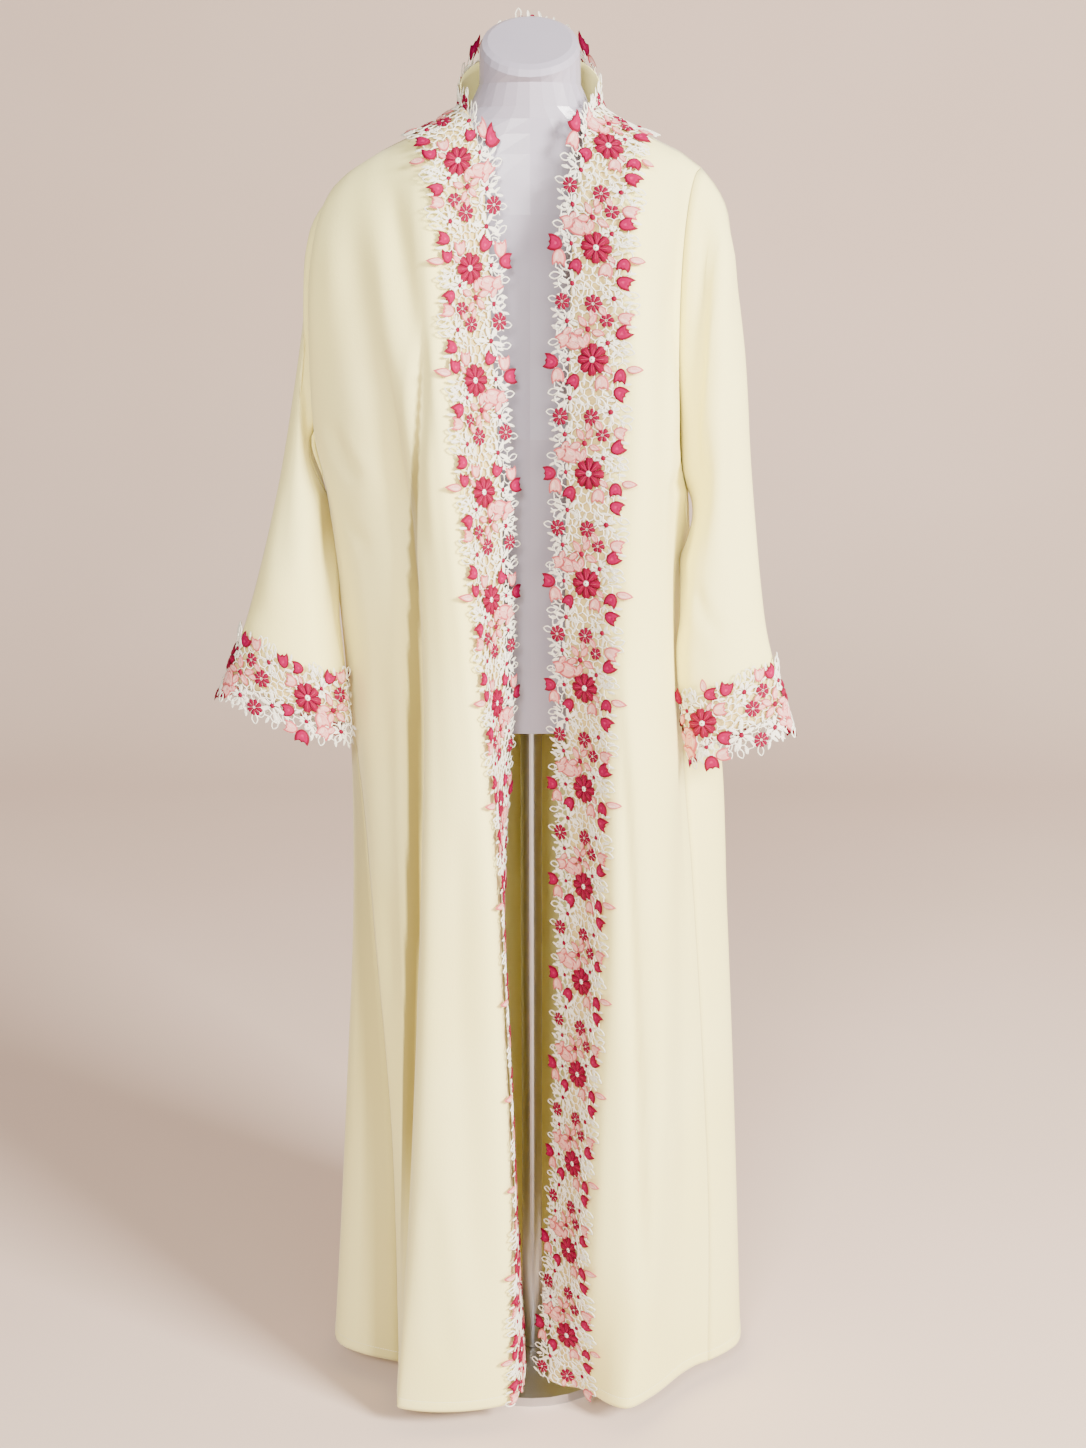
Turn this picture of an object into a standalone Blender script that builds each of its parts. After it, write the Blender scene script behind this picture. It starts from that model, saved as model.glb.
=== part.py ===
"""Open-front abaya of crepe with a flower lace edging, on a limbless dress form.

Metres, +Z up. The front of the garment faces -Y, the wearer's right side is -X, and the
origin is on the floor under the middle of the neck.
"""
import math

import bpy
import numpy as np
from mathutils import Vector
from mathutils.bvhtree import BVHTree
from mathutils.geometry import delaunay_2d_cdt

for item in list(bpy.data.objects):
    bpy.data.objects.remove(item, do_unlink=True)

# Driving sizes
WALL = 0.0018
SLEEVE_WALL = 0.0014
SEAM = 0.0003
HALF_SEAM = 0.55 * SEAM
MM = 0.001
LACE_WALL = 0.0012
LACE_LIFT = 0.0005
LACE_CLEAR = 0.0004
RAY_REACH = 0.006
RAY_STEPS = 5
LIFT_TURNS = 8
HEM_HEIGHT = 0.030
CHEST_HEIGHT = 1.280
NECK_SIDE = 0.072
NECK_BACK = 0.062
SHARP_TURN = 0.65
ROLL_STEPS = 6
ARM_STEPS = 3
ARMHOLE_FADE = 4
STAND_SIDE_HEIGHT = 0.022
STAND_BACK_HEIGHT = 0.060
STAND_LEAN = 0.05
STAND_STEPS = 20
LACE_REPEAT = 0.1145
EDGE_TO_FLOWER = 0.027
CUFF_EDGE_TO_FLOWER = 0.018
COLLAR_CLIMB = 0.077
COLLAR_CLIMB_POWER = 1.3
COLLAR_STEPS = 60
COLLAR_TURN = 0.02
SHOULDER_SLOPE_SHARE = 0.9
RIGHT_FIRST_FLOWER = 0.052
LEFT_FIRST_FLOWER = 0.074
END_BAND = 0.008
STANDS_FROM = 1.425
CUFF_FIRST_FLOWER = {
    ("right", "front"): 0.058,
    ("right", "back"): 0.058,
    ("left", "front"): 0.030,
    ("left", "back"): 0.030,
}

# The shoulder seam: distance out from the middle, height
SHOULDER_LINE = (
    (0.072, 1.4990),
    (0.090, 1.4870),
    (0.120, 1.4720),
    (0.158, 1.4540),
    (0.180, 1.4380),
    (0.205, 1.4130),
)

# Sections of the panels. A row is a height, and a pair is (out from the middle, forward).
# height, edge, lace middle, nose, lip, groove, ridge, side, seam
RIGHT_FRONT = (
    (1.280, (0.040, 0.081), (0.061, 0.098), (0.097, 0.124), (0.137, 0.112), (0.158, 0.101), (0.190, 0.082),
     (0.2325, 0.048), (0.226, 0.024)),
    (1.165, (0.034, 0.087), (0.054, 0.104), (0.088, 0.136), (0.124, 0.120), (0.138, 0.102), (0.172, 0.088),
     (0.230, 0.040), (0.236, 0.000)),
    (1.100, (0.030, 0.088), (0.0495, 0.107), (0.083, 0.139), (0.119, 0.122), (0.130, 0.098), (0.160, 0.090),
     (0.212, 0.048), (0.225, 0.004)),
    (1.020, (0.029, 0.084), (0.045, 0.105), (0.074, 0.141), (0.114, 0.126), (0.122, 0.094), (0.148, 0.092),
     (0.194, 0.060), (0.2175, 0.005)),
    (0.880, (0.027, 0.0775), (0.039, 0.101), (0.060, 0.143), (0.112, 0.131), (0.118, 0.080), (0.140, 0.086),
     (0.182, 0.058), (0.2065, 0.006)),
    (0.740, (0.0315, 0.072), (0.037, 0.099), (0.047, 0.144), (0.115, 0.136), (0.120, 0.071), (0.142, 0.080),
     (0.174, 0.060), (0.190, 0.033)),
    (0.600, (0.034, 0.071), (0.035, 0.098), (0.040, 0.144), (0.118, 0.139), (0.1235, 0.066), (0.143, 0.075),
     (0.164, 0.062), (0.181, 0.046)),
    (0.360, (0.025, 0.072), (0.026, 0.099), (0.032, 0.145), (0.131, 0.143), (0.137, 0.062), (0.147, 0.066),
     (0.157, 0.062), (0.1665, 0.053)),
    (0.030, (0.011, 0.075), (0.013, 0.098), (0.030, 0.136), (0.154, 0.1435), (0.1605, 0.122), (0.1620, 0.098),
     (0.1625, 0.075), (0.1640, 0.052)),
)
RIGHT_FRONT_STEPS = (2, 2, 3, 2, 2, 2, 2)

# height, edge, lace middle, nose, flank, lip, tuck, seam
LEFT_FRONT = (
    (1.280, (0.041, 0.104), (0.066, 0.115), (0.106, 0.122), (0.132, 0.096), (0.148, 0.068), (0.153, 0.052),
     (0.158, 0.036)),
    (1.165, (0.039, 0.110), (0.0635, 0.123), (0.104, 0.134), (0.134, 0.112), (0.1535, 0.086), (0.158, 0.058),
     (0.164, 0.028)),
    (1.100, (0.038, 0.112), (0.063, 0.126), (0.103, 0.139), (0.132, 0.118), (0.1480, 0.090), (0.156, 0.050),
     (0.172, 0.006)),
    (0.960, (0.037, 0.107), (0.0605, 0.121), (0.100, 0.142), (0.132, 0.121), (0.1500, 0.084), (0.158, 0.040),
     (0.176, -0.004)),
    (0.820, (0.0395, 0.098), (0.061, 0.115), (0.097, 0.143), (0.134, 0.124), (0.1610, 0.078), (0.165, 0.052),
     (0.172, 0.022)),
    (0.680, (0.041, 0.092), (0.0605, 0.111), (0.094, 0.143), (0.138, 0.126), (0.1690, 0.080), (0.176, 0.062),
     (0.183, 0.046)),
    (0.455, (0.0385, 0.087), (0.056, 0.108), (0.086, 0.143), (0.138, 0.132), (0.1780, 0.083), (0.189, 0.067),
     (0.200, 0.053)),
    (0.220, (0.030, 0.0825), (0.0465, 0.104), (0.076, 0.139), (0.130, 0.139), (0.1800, 0.082), (0.198, 0.064),
     (0.214, 0.051)),
    (0.030, (0.020, 0.088), (0.034, 0.098), (0.0605, 0.1065), (0.112, 0.1435), (0.1805, 0.078), (0.200, 0.060),
     (0.2175, 0.050)),
)
LEFT_FRONT_STEPS = (2, 2, 3, 2, 2, 2)

# The back at the chest ends at the two armholes: out, back
RIGHT_ARMHOLE = (-0.205, 0.050)
LEFT_ARMHOLE = (0.184, 0.052)

# The back between its side seams. A pair is (towards the viewer's right, back).
# height, right corner, right side, right back, middle, left back, left side, left corner
BACK = (
    (1.280, (-0.196, 0.064), (-0.176, 0.082), (-0.110, 0.102), (0.000, 0.104), (0.105, 0.098),
     (0.158, 0.078), (0.176, 0.064)),
    (1.165, (-0.222, 0.036), (-0.200, 0.066), (-0.120, 0.106), (0.000, 0.110), (0.112, 0.104),
     (0.166, 0.072), (0.178, 0.050)),
    (1.100, (-0.218, 0.034), (-0.196, 0.066), (-0.116, 0.102), (0.000, 0.110), (0.116, 0.100),
     (0.170, 0.066), (0.176, 0.034)),
    (0.960, (-0.2130, 0.028), (-0.194, 0.066), (-0.112, 0.100), (0.000, 0.108), (0.120, 0.098),
     (0.184, 0.060), (0.190, 0.028)),
    (0.820, (-0.2080, 0.020), (-0.196, 0.064), (-0.118, 0.108), (-0.004, 0.104), (0.116, 0.112),
     (0.208, 0.058), (0.214, 0.014)),
    (0.600, (-0.2075, -0.010), (-0.200, 0.066), (-0.118, 0.122), (-0.006, 0.108), (0.122, 0.124),
     (0.222, 0.064), (0.228, -0.004)),
    (0.360, (-0.2190, -0.014), (-0.216, 0.072), (-0.124, 0.138), (-0.008, 0.114), (0.128, 0.138),
     (0.236, 0.070), (0.242, -0.010)),
    (0.030, (-0.2400, -0.016), (-0.240, 0.074), (-0.132, 0.152), (-0.010, 0.122), (0.136, 0.152),
     (0.252, 0.076), (0.258, -0.012)),
)
BACK_STEPS = (2, 2, 3, 3, 3, 3, 2, 2)

# Height of each underarm, and of the rows from there to the hem
RIGHT_UNDERARM = 1.165
LEFT_UNDERARM = 1.100
RIGHT_ROWS = (1.10, 1.02, 0.95, 0.88, 0.81, 0.74, 0.67, 0.60, 0.52, 0.44, 0.36, 0.28, 0.20, 0.11, HEM_HEIGHT)
LEFT_ROWS = (1.04, 0.97, 0.90, 0.83, 0.76, 0.69, 0.62, 0.54, 0.46, 0.38, 0.30, 0.22, 0.15, 0.09, HEM_HEIGHT)

# A sleeve from armhole to cuff: overarm (out, forward, height), underarm (out, forward, height), half depth
RIGHT_SLEEVE = (
    ((0.2050, 0.000, 1.4130), (0.2360, 0.000, 1.1650), 0.026, 0.050),
    ((0.2300, 0.000, 1.3800), (0.2430, 0.000, 1.1500), 0.022, 0.056),
    ((0.2400, 0.000, 1.3000), (0.2450, 0.004, 1.1250), 0.022, 0.056),
    ((0.2560, 0.002, 1.2100), (0.2400, 0.008, 1.0800), 0.030, 0.050),
    ((0.2740, 0.010, 1.1150), (0.2290, 0.014, 1.0250), 0.036, 0.042),
    ((0.2960, 0.020, 1.0250), (0.2200, 0.024, 0.9600), 0.036, 0.035),
    ((0.3170, 0.030, 0.9530), (0.2135, 0.034, 0.8950), 0.034, 0.030),
    ((0.3370, 0.035, 0.9010), (0.2095, 0.040, 0.8450), 0.031, 0.026),
)
LEFT_SLEEVE = (
    ((0.1800, 0.000, 1.4380), (0.1720, 0.006, 1.1000), 0.040, 0.052),
    ((0.2060, 0.000, 1.4020), (0.1770, 0.010, 1.0880), 0.052, 0.049),
    ((0.2180, 0.005, 1.3300), (0.1810, 0.020, 1.0650), 0.052, 0.042),
    ((0.2300, 0.012, 1.2500), (0.1790, 0.034, 1.0280), 0.048, 0.036),
    ((0.2370, 0.022, 1.1550), (0.1720, 0.050, 0.9700), 0.042, 0.030),
    ((0.2460, 0.036, 1.0550), (0.1670, 0.060, 0.9350), 0.036, 0.028),
    ((0.2590, 0.052, 0.9500), (0.1700, 0.070, 0.8900), 0.030, 0.026),
    ((0.2810, 0.068, 0.8700), (0.1780, 0.074, 0.8350), 0.028, 0.025),
)

# The dress form: height, half width, forward, backward, and how far its ends are pinched thin
FORM_SECTIONS = (
    (0.830, 0.124, 0.038, 0.080, 1.0),
    (0.870, 0.130, 0.041, 0.086, 1.0),
    (0.960, 0.124, 0.047, 0.082, 1.0),
    (1.060, 0.114, 0.054, 0.076, 1.0),
    (1.160, 0.124, 0.060, 0.078, 1.0),
    (1.250, 0.138, 0.056, 0.080, 1.0),
    (1.330, 0.144, 0.053, 0.074, 1.0),
    (1.390, 0.148, 0.050, 0.064, 1.0),
    (1.425, 0.150, 0.046, 0.056, 1.1),
    (1.450, 0.146, 0.043, 0.052, 1.4),
    (1.470, 0.1184, 0.041, 0.048, 1.7),
    (1.485, 0.0884, 0.040, 0.046, 1.7),
    (1.497, 0.0640, 0.041, 0.046, 1.2),
    (1.520, 0.0530, 0.044, 0.048, 1.0),
)
FORM_TURNS = 28
NECK_HALF_WIDTH = 0.0520
NECK_FRONT = 0.050
NECK_BACK_DEPTH = 0.051
NECK_TOP_BACK = 1.596
NECK_TOP_FRONT = 1.532
CAP_ROUND = 0.008
POLE_RADIUS = 0.0125
BASE_RADIUS = 0.115
STAND_BACKWARD = 0.015
BASE_THICK = 0.012
STAND_TURNS = 32

# Lace gaps in one repeat, in mm from the big flower: along, across, half length, half width
LACE_GAPS = (
    (-14.0, -19.0, 4.2, 3.6),
    (-21.0, 21.0, 3.8, 3.6),
    (22.0, -8.0, 4.4, 3.4),
    (24.0, 17.0, 3.6, 3.4),
    (44.0, 5.0, 4.6, 3.8),
    (56.0, -22.0, 4.2, 3.4),
    (67.0, 20.0, 4.0, 3.6),
    (78.0, 2.0, 3.4, 3.0),
)
# Scallops of the two lace edges in one repeat, in mm: along, across
FREE_SCALLOPS = ((0, -54), (9, -44), (20, -38), (38, -46), (57, -39), (76, -42), (92, -36), (104, -43))
SEWN_SCALLOPS = ((9, 46), (20, 34), (32, 36), (48, 29), (64, 33), (73, 37), (87, 36), (101, 32))


def smooth(table_heights, values, at):
    """A smooth curve through the rows of a table, read at some heights."""
    order = np.argsort(table_heights)
    knots = np.asarray(table_heights, float)[order]
    points = np.asarray(values, float)[order]
    slopes = np.gradient(points, knots, axis=0)
    at = np.clip(np.asarray(at, float), knots[0], knots[-1])
    cell = np.clip(np.searchsorted(knots, at) - 1, 0, len(knots) - 2)
    width = knots[cell + 1] - knots[cell]
    t = (at - knots[cell]) / width
    shape = t.shape + (1,) * (points.ndim - 1)
    t, width = t.reshape(shape), width.reshape(shape)
    low, high = points[cell], points[cell + 1]
    rise = slopes[cell] * width
    fall = slopes[cell + 1] * width
    return (
        low * (1 + 2 * t) * (1 - t) ** 2
        + rise * t * (1 - t) ** 2
        + high * t * t * (3 - 2 * t)
        - fall * t * t * (1 - t)
    )


def named_points(table, height):
    """The named points of a panel's plan at one height."""
    heights = [row[0] for row in table]
    return smooth(heights, [[list(point) for point in row[1:]] for row in table], np.array([height]))[0]


def rounded(named, steps):
    """A rounded line through named points, with some steps between each two."""
    chords = np.linalg.norm(np.diff(named, axis=0), axis=1)
    knots = np.concatenate([[0.0], np.cumsum(np.sqrt(chords))])
    places = [0.0]
    for start, end, count in zip(knots[:-1], knots[1:], steps):
        places += [start + (end - start) * (k + 1) / count for k in range(count)]
    return smooth(knots, named, np.array(places))


def front_plan(table, steps, height):
    """Points across a front at one height, out from the middle and back from it."""
    plan = rounded(named_points(table, height), steps)
    return np.column_stack([plan[:, 0], -plan[:, 1], np.full(len(plan), height)])


def shoulder_height(out):
    return np.interp(out, [row[0] for row in SHOULDER_LINE], [row[1] for row in SHOULDER_LINE])


def running_share(points):
    """How far along a line each point lies, from 0 to 1."""
    lengths = np.concatenate([[0.0], np.cumsum(np.linalg.norm(np.diff(points, axis=0), axis=1))])
    return lengths / lengths[-1]


def shoulder_roll(top, chest):
    """Rows that roll from the shoulder seam over to the chest, a quarter ellipse down each column."""
    rows = []
    for k in range(ROLL_STEPS + 1):
        turn = 0.5 * math.pi * k / ROLL_STEPS
        row = top + (chest - top) * math.sin(turn)
        row[:, 2] = chest[:, 2] + (top[:, 2] - chest[:, 2]) * math.cos(turn)
        rows.append(row)
    return rows


def armhole_turns():
    """The turn at each row from the chest down to the underarm."""
    return [0.5 * math.pi * k / ARM_STEPS for k in range(1, ARM_STEPS + 1)]


def rows_below_chest(underarm, lower):
    return [CHEST_HEIGHT - (CHEST_HEIGHT - underarm) * math.sin(turn) for turn in armhole_turns()] + list(lower)


def front_panel(table, steps, row_heights, side, shoulder_end):
    """Outer points of a front panel, rows from shoulder to hem, columns from edge to side seam."""
    chest = front_plan(table, steps, CHEST_HEIGHT)
    out = NECK_SIDE + (shoulder_end - NECK_SIDE) * running_share(chest)
    top = np.column_stack([out, np.zeros(len(out)), shoulder_height(out)])
    rows = shoulder_roll(top, chest) + [front_plan(table, steps, height) for height in row_heights]
    grid = np.array(rows)
    start, end = grid[ROLL_STEPS, -1], grid[ROLL_STEPS + ARM_STEPS, -1]
    armhole = slice(ROLL_STEPS + 1, ROLL_STEPS + ARM_STEPS + 1)
    shift = np.array(armhole_curve(start, end)) - grid[armhole, -1]
    grid[armhole, -1] += shift
    grid[armhole, -2] += shift / 2
    grid[:, :, 0] *= side
    return grid


def armhole_curve(start, end):
    """Points from the chest in to the underarm, a quarter ellipse."""
    points = []
    for turn in armhole_turns():
        point = start + (end - start) * (1 - math.cos(turn))
        point[2] = start[2] + (end[2] - start[2]) * math.sin(turn)
        points.append(point)
    return points


def back_panel(right, left):
    """Outer points of the back, columns from the right side seam round to the left one."""
    ends = []
    for front, armhole in ((right, RIGHT_ARMHOLE), (left, LEFT_ARMHOLE)):
        chest = np.array((*armhole, CHEST_HEIGHT))
        below = front[ROLL_STEPS + ARM_STEPS :, -1]
        ends.append([chest] + armhole_curve(chest, below[0]) + list(below[1:]))
    rows = []
    for right_end, left_end in zip(*ends):
        plans = []
        for height in (right_end[2], left_end[2]):
            named = np.vstack([right_end[:2], named_points(BACK, height), left_end[:2]])
            plans.append(rounded(named, BACK_STEPS))
        share = running_share(plans[0])[:, None]
        height = right_end[2] + (left_end[2] - right_end[2]) * share
        rows.append(np.hstack([plans[0] * (1 - share) + plans[1] * share, height]))
    share = running_share(rows[0])
    across = right[0, -1, 0] + (left[0, -1, 0] - right[0, -1, 0]) * share
    top = []
    for x in across:
        dip = max(0.0, 1.0 - (x / NECK_SIDE) ** 2)
        top.append((x, NECK_BACK * math.sqrt(dip), shoulder_height(max(abs(x), NECK_SIDE))))
    return np.array(shoulder_roll(np.array(top), rows[0]) + rows[1:])


def sleeve_half(table, side, ring, front):
    """Outer points of half a sleeve, rows from the armhole to the cuff, columns overarm to underarm."""
    stations = np.linspace(0, 1, len(table))
    fine = np.linspace(0, 1, 2 * len(table) - 1)
    over = smooth(stations, [row[0] for row in table], fine) * (side, -1, 1)
    under = smooth(stations, [row[1] for row in table], fine) * (side, -1, 1)
    depth = smooth(stations, [row[2] if front else row[3] for row in table], fine)
    high, low = ring[0, 2], ring[-1, 2]
    turn = np.arccos(np.clip((2 * ring[:, 2] - high - low) / (high - low), -1, 1))
    towards = np.array((0.0, -1.0 if front else 1.0, 0.0))
    rows = []
    for k, share in enumerate(fine):
        middle = (over[k] + under[k]) / 2
        reach = (over[k] - under[k]) / 2
        row = middle + np.outer(np.cos(turn), reach) + np.outer(np.sin(turn) * depth[k], towards)
        rows.append(row)
    rows = np.array(rows)
    offset = ring - rows[0]
    for k, share in enumerate(fine):
        rows[k] += offset * (1 - share) ** ARMHOLE_FADE
    return rows


def grid_normals(grid):
    """Unit directions square to a grid of points, outward for rows going down and columns going round."""
    down = np.gradient(grid, axis=0)
    across = np.gradient(grid, axis=1)
    normals = np.cross(across, down)
    lengths = np.linalg.norm(normals, axis=2, keepdims=True)
    return normals / np.maximum(lengths, 1e-12)


def point_key(point):
    """The same key for points that two panels share, whatever their last digits."""
    return tuple(np.floor(point * 1e5 + 0.3))


def share_normals(names, grids, normals, limit):
    """Points that panels share get one direction, except where the cloth turns sharply there."""
    grids = [grids[name][0] for name in names]
    normals = [normals[name] for name in names]
    sums = {}
    for grid, directions in zip(grids, normals):
        for point, direction in zip(grid.reshape(-1, 3), directions.reshape(-1, 3)):
            key = point_key(point)
            sums[key] = sums.get(key, 0) + direction
    for grid, directions in zip(grids, normals):
        for i in range(grid.shape[0]):
            for j in range(grid.shape[1]):
                total = sums[point_key(grid[i, j])]
                total = total / max(np.linalg.norm(total), 1e-9)
                if np.dot(total, directions[i, j]) > limit:
                    directions[i, j] = total


def draw_back(grid, sides, gap):
    """Moves the named edges of a grid back along the cloth, which parts it from its neighbour."""
    grid = grid.copy()
    picks = {"top": (0, 1, 0), "bottom": (-1, -2, 0), "first": (0, 1, 1), "last": (-1, -2, 1)}
    for name in sides:
        edge, inner, axis = picks[name]
        line = grid[edge] if axis == 0 else grid[:, edge]
        near = grid[inner] if axis == 0 else grid[:, inner]
        step = near - line
        step = step / np.maximum(np.linalg.norm(step, axis=1, keepdims=True), 1e-9) * gap
        line += step
    return grid


def new_material(name, colour, roughness, metallic=0.0):
    material = bpy.data.materials.new(name)
    material.use_nodes = True
    shader = material.node_tree.nodes["Principled BSDF"]
    shader.inputs["Base Color"].default_value = (*colour, 1.0)
    shader.inputs["Roughness"].default_value = roughness
    shader.inputs["Metallic"].default_value = metallic
    return material


def add_solid(name, points, faces, material):
    """One named object from points and faces, shaded smooth."""
    mesh = bpy.data.meshes.new(name)
    mesh.from_pydata([tuple(map(float, point)) for point in points], [], faces)
    mesh.materials.append(material)
    mesh.validate()
    mesh.shade_smooth()
    mesh.set_sharp_from_angle(angle=math.radians(50))
    thing = bpy.data.objects.new(name, mesh)
    bpy.context.collection.objects.link(thing)
    return thing


def wall_from_grid(name, grid, normals, thickness, material, flip):
    """A closed wall: the grid outside, the same points moved in along the normals inside."""
    rows, columns = grid.shape[:2]
    outer = grid.reshape(-1, 3)
    inner = (grid - normals * thickness).reshape(-1, 3)
    count = rows * columns
    faces = []

    def add(face):
        faces.append(face[::-1] if flip else face)

    for i in range(rows - 1):
        for j in range(columns - 1):
            a, b = i * columns + j, i * columns + j + 1
            c, d = b + columns, a + columns
            add((a, b, c))
            add((a, c, d))
            add((count + a, count + c, count + b))
            add((count + a, count + d, count + c))
    low = (rows - 1) * columns
    rims = [(j, j + 1) for j in range(columns - 1)]
    rims += [(low + j + 1, low + j) for j in range(columns - 1)]
    rims += [((i + 1) * columns, i * columns) for i in range(rows - 1)]
    rims += [((i + 1) * columns - 1, (i + 2) * columns - 1) for i in range(rows - 1)]
    for a, b in rims:
        add((a, count + a, count + b))
        add((a, count + b, b))
    return add_solid(name, np.vstack([outer, inner]), faces, material)


def lace_chart(length, phase, mirror):
    """Triangles of a lace strip laid flat: scalloped edges, with the gaps of each repeat cut out."""
    start = int(math.floor(-phase / LACE_REPEAT)) - 1
    stop = int(math.ceil((length - phase) / LACE_REPEAT)) + 1
    repeats = range(start, stop)

    def place(along, across, repeat):
        reach = phase + repeat * LACE_REPEAT + mirror * along * MM
        return reach, across * MM

    def border(scallops):
        line = sorted(place(along, across, n) for n in repeats for along, across in scallops)
        line = np.array(line)
        inside = [tuple(p) for p in line if END_BAND / 2 < p[0] < length - END_BAND / 2]
        ends = [(x, float(np.interp(x, line[:, 0], line[:, 1]))) for x in (0.0, length)]
        return [ends[0]] + inside + [ends[1]]

    free, sewn = border(FREE_SCALLOPS), border(SEWN_SCALLOPS)
    points = list(free) + list(reversed(sewn))
    loops = [list(range(len(points)))]
    gaps = []
    for n in repeats:
        for along, across, half_long, half_wide in LACE_GAPS:
            x, y = place(along, across, n)
            if END_BAND < x < length - END_BAND:
                gaps.append((x, y, half_long * MM, half_wide * MM))
    for x, y, long, wide in gaps:
        base = len(points)
        points += [(x - long, y), (x, y + wide), (x + long, y), (x, y - wide)]
        loops.append([base, base + 1, base + 2, base + 3])
    edges = [(loop[k], loop[(k + 1) % len(loop)]) for loop in loops for k in range(len(loop))]
    result = delaunay_2d_cdt([Vector(p) for p in points], edges, [], 1, 1e-7)
    flat = np.array([tuple(p) for p in result[0]])
    triangles = []
    for triangle in result[2]:
        a, b, c = (flat[k] for k in triangle)
        middle = (a + b + c) / 3
        if any(abs(middle[0] - x) / long + abs(middle[1] - y) / wide < 1 for x, y, long, wide in gaps):
            continue
        turn = (b[0] - a[0]) * (c[1] - a[1]) - (b[1] - a[1]) * (c[0] - a[0])
        triangles.append(tuple(triangle) if turn > 0 else tuple(reversed(triangle)))
    return flat, triangles


def cloth_tree(grids):
    """One search tree of the outer faces of the cloth."""
    points, faces = [], []
    for grid in grids:
        columns, base = grid.shape[1], len(points)
        points += [tuple(map(float, point)) for point in grid.reshape(-1, 3)]
        for i in range(grid.shape[0] - 1):
            for j in range(columns - 1):
                a = base + i * columns + j
                faces += [(a, a + 1, a + columns + 1), (a, a + columns + 1, a + columns)]
    return BVHTree.FromPolygons(points, faces)


def lift_clear(points, out, triangles, cloth):
    """Moves a lace's inner points out until its faces clear the cloth under them."""
    steps = range(RAY_STEPS + 1)
    weights = [(i, j, RAY_STEPS - i - j) for i in steps for j in steps if i + j <= RAY_STEPS]
    weights = np.array(weights) / RAY_STEPS
    for turn in range(LIFT_TURNS):
        raised = np.zeros(len(points))
        for triangle in triangles:
            corners, directions = points[list(triangle)], out[list(triangle)]
            direction = directions.sum(axis=0)
            direction /= np.linalg.norm(direction)
            for place in weights @ corners:
                start = Vector(place + direction * RAY_REACH)
                hit, square, face, depth = cloth.ray_cast(start, Vector(-direction), 2 * RAY_REACH)
                if hit is None:
                    continue
                short = RAY_REACH - depth + LACE_CLEAR
                if short > 0:
                    for k in triangle:
                        raised[k] = max(raised[k], short)
        under = BVHTree.FromPolygons([tuple(map(float, point)) for point in points], triangles)
        crossing = {index for index, face in under.overlap(cloth)}
        for index in crossing:
            for k in triangles[index]:
                raised[k] = max(raised[k], LACE_CLEAR)
        points = points + out * raised[:, None]
        if raised.max() < 1e-6:
            break
    return points


def lace_solid(name, flat, triangles, lay, cloth, material):
    """The chart laid on a surface. lay gives a point and an outward direction for each chart point."""
    laid = [lay(along, across) for along, across in flat]
    out = np.array([direction for point, direction in laid])
    under = lift_clear(np.array([point for point, direction in laid]), out, triangles, cloth)
    over = under + out * LACE_WALL
    count = len(flat)
    edges = {(t[k], t[(k + 1) % 3]) for t in triangles for k in range(3)}
    faces = [tuple(count + k for k in triangle) for triangle in triangles]
    faces += [tuple(reversed(triangle)) for triangle in triangles]
    for a, b in sorted(edges):
        if (b, a) not in edges:
            faces += [(a, b, count + b), (a, count + b, count + a)]
    a, b, c = triangles[0]
    facing = np.dot(np.cross(over[b] - over[a], over[c] - over[a]), out[a])
    if facing < 0:
        faces = [tuple(reversed(face)) for face in faces]
    return add_solid(name, np.vstack([under, over]), faces, material)


def walk_row(line, normals, distance, lift):
    """A point at some distance along a row of points, and the direction there. Before the first
    point the row is carried on straight, raised by lift (0 to 1) towards upright."""
    if distance <= 0:
        ahead = (line[0] - line[1]) / np.linalg.norm(line[0] - line[1])
        upright = np.array((-STAND_LEAN * math.copysign(1, line[0][0]), 0.0, 1.0))
        ahead = ahead * (1 - lift) + upright * lift
        ahead /= np.linalg.norm(ahead)
        along = np.cross(normals[0], line[0] - line[1])
        normal = np.cross(ahead, along)
        return line[0] - ahead * distance, normal / np.linalg.norm(normal)
    lengths = np.concatenate([[0.0], np.cumsum(np.linalg.norm(np.diff(line, axis=0), axis=1))])
    cell = int(np.clip(np.searchsorted(lengths, distance) - 1, 0, len(line) - 2))
    share = (distance - lengths[cell]) / (lengths[cell + 1] - lengths[cell])
    normal = normals[cell] + (normals[cell + 1] - normals[cell]) * share
    return line[cell] + (line[cell + 1] - line[cell]) * share, normal / np.linalg.norm(normal)


def lace_on_grid(grid, normals, edge_to_flower):
    """Lays lace along the first column of a grid: along runs from the last row to the first."""
    rows, directions = grid[::-1], normals[::-1]
    edge = rows[:, 0]
    lengths = np.concatenate([[0.0], np.cumsum(np.linalg.norm(np.diff(edge, axis=0), axis=1))])

    def lay(along, across):
        cell = int(np.clip(np.searchsorted(lengths, along) - 1, 0, len(edge) - 2))
        share = np.clip((along - lengths[cell]) / (lengths[cell + 1] - lengths[cell]), 0, 1)
        line = rows[cell] + (rows[cell + 1] - rows[cell]) * share
        square = directions[cell] + (directions[cell + 1] - directions[cell]) * share
        height = line[0][2]
        lift = np.clip((height - STANDS_FROM) / (SHOULDER_LINE[0][1] - STANDS_FROM), 0, 1)
        point, normal = walk_row(line, square, across + edge_to_flower, lift * lift * (3 - 2 * lift))
        return point + normal * LACE_LIFT, normal

    return lay, lengths[-1]


def neckline(turn):
    """A point of the back neckline and its outward direction; turn runs from the left side, 0, to the right."""
    point = np.array((NECK_SIDE * math.cos(turn), NECK_BACK * math.sin(turn), SHOULDER_LINE[0][1]))
    out = np.array((math.cos(turn) / NECK_SIDE, math.sin(turn) / NECK_BACK, 0.0))
    return point, out / np.linalg.norm(out)


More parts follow.
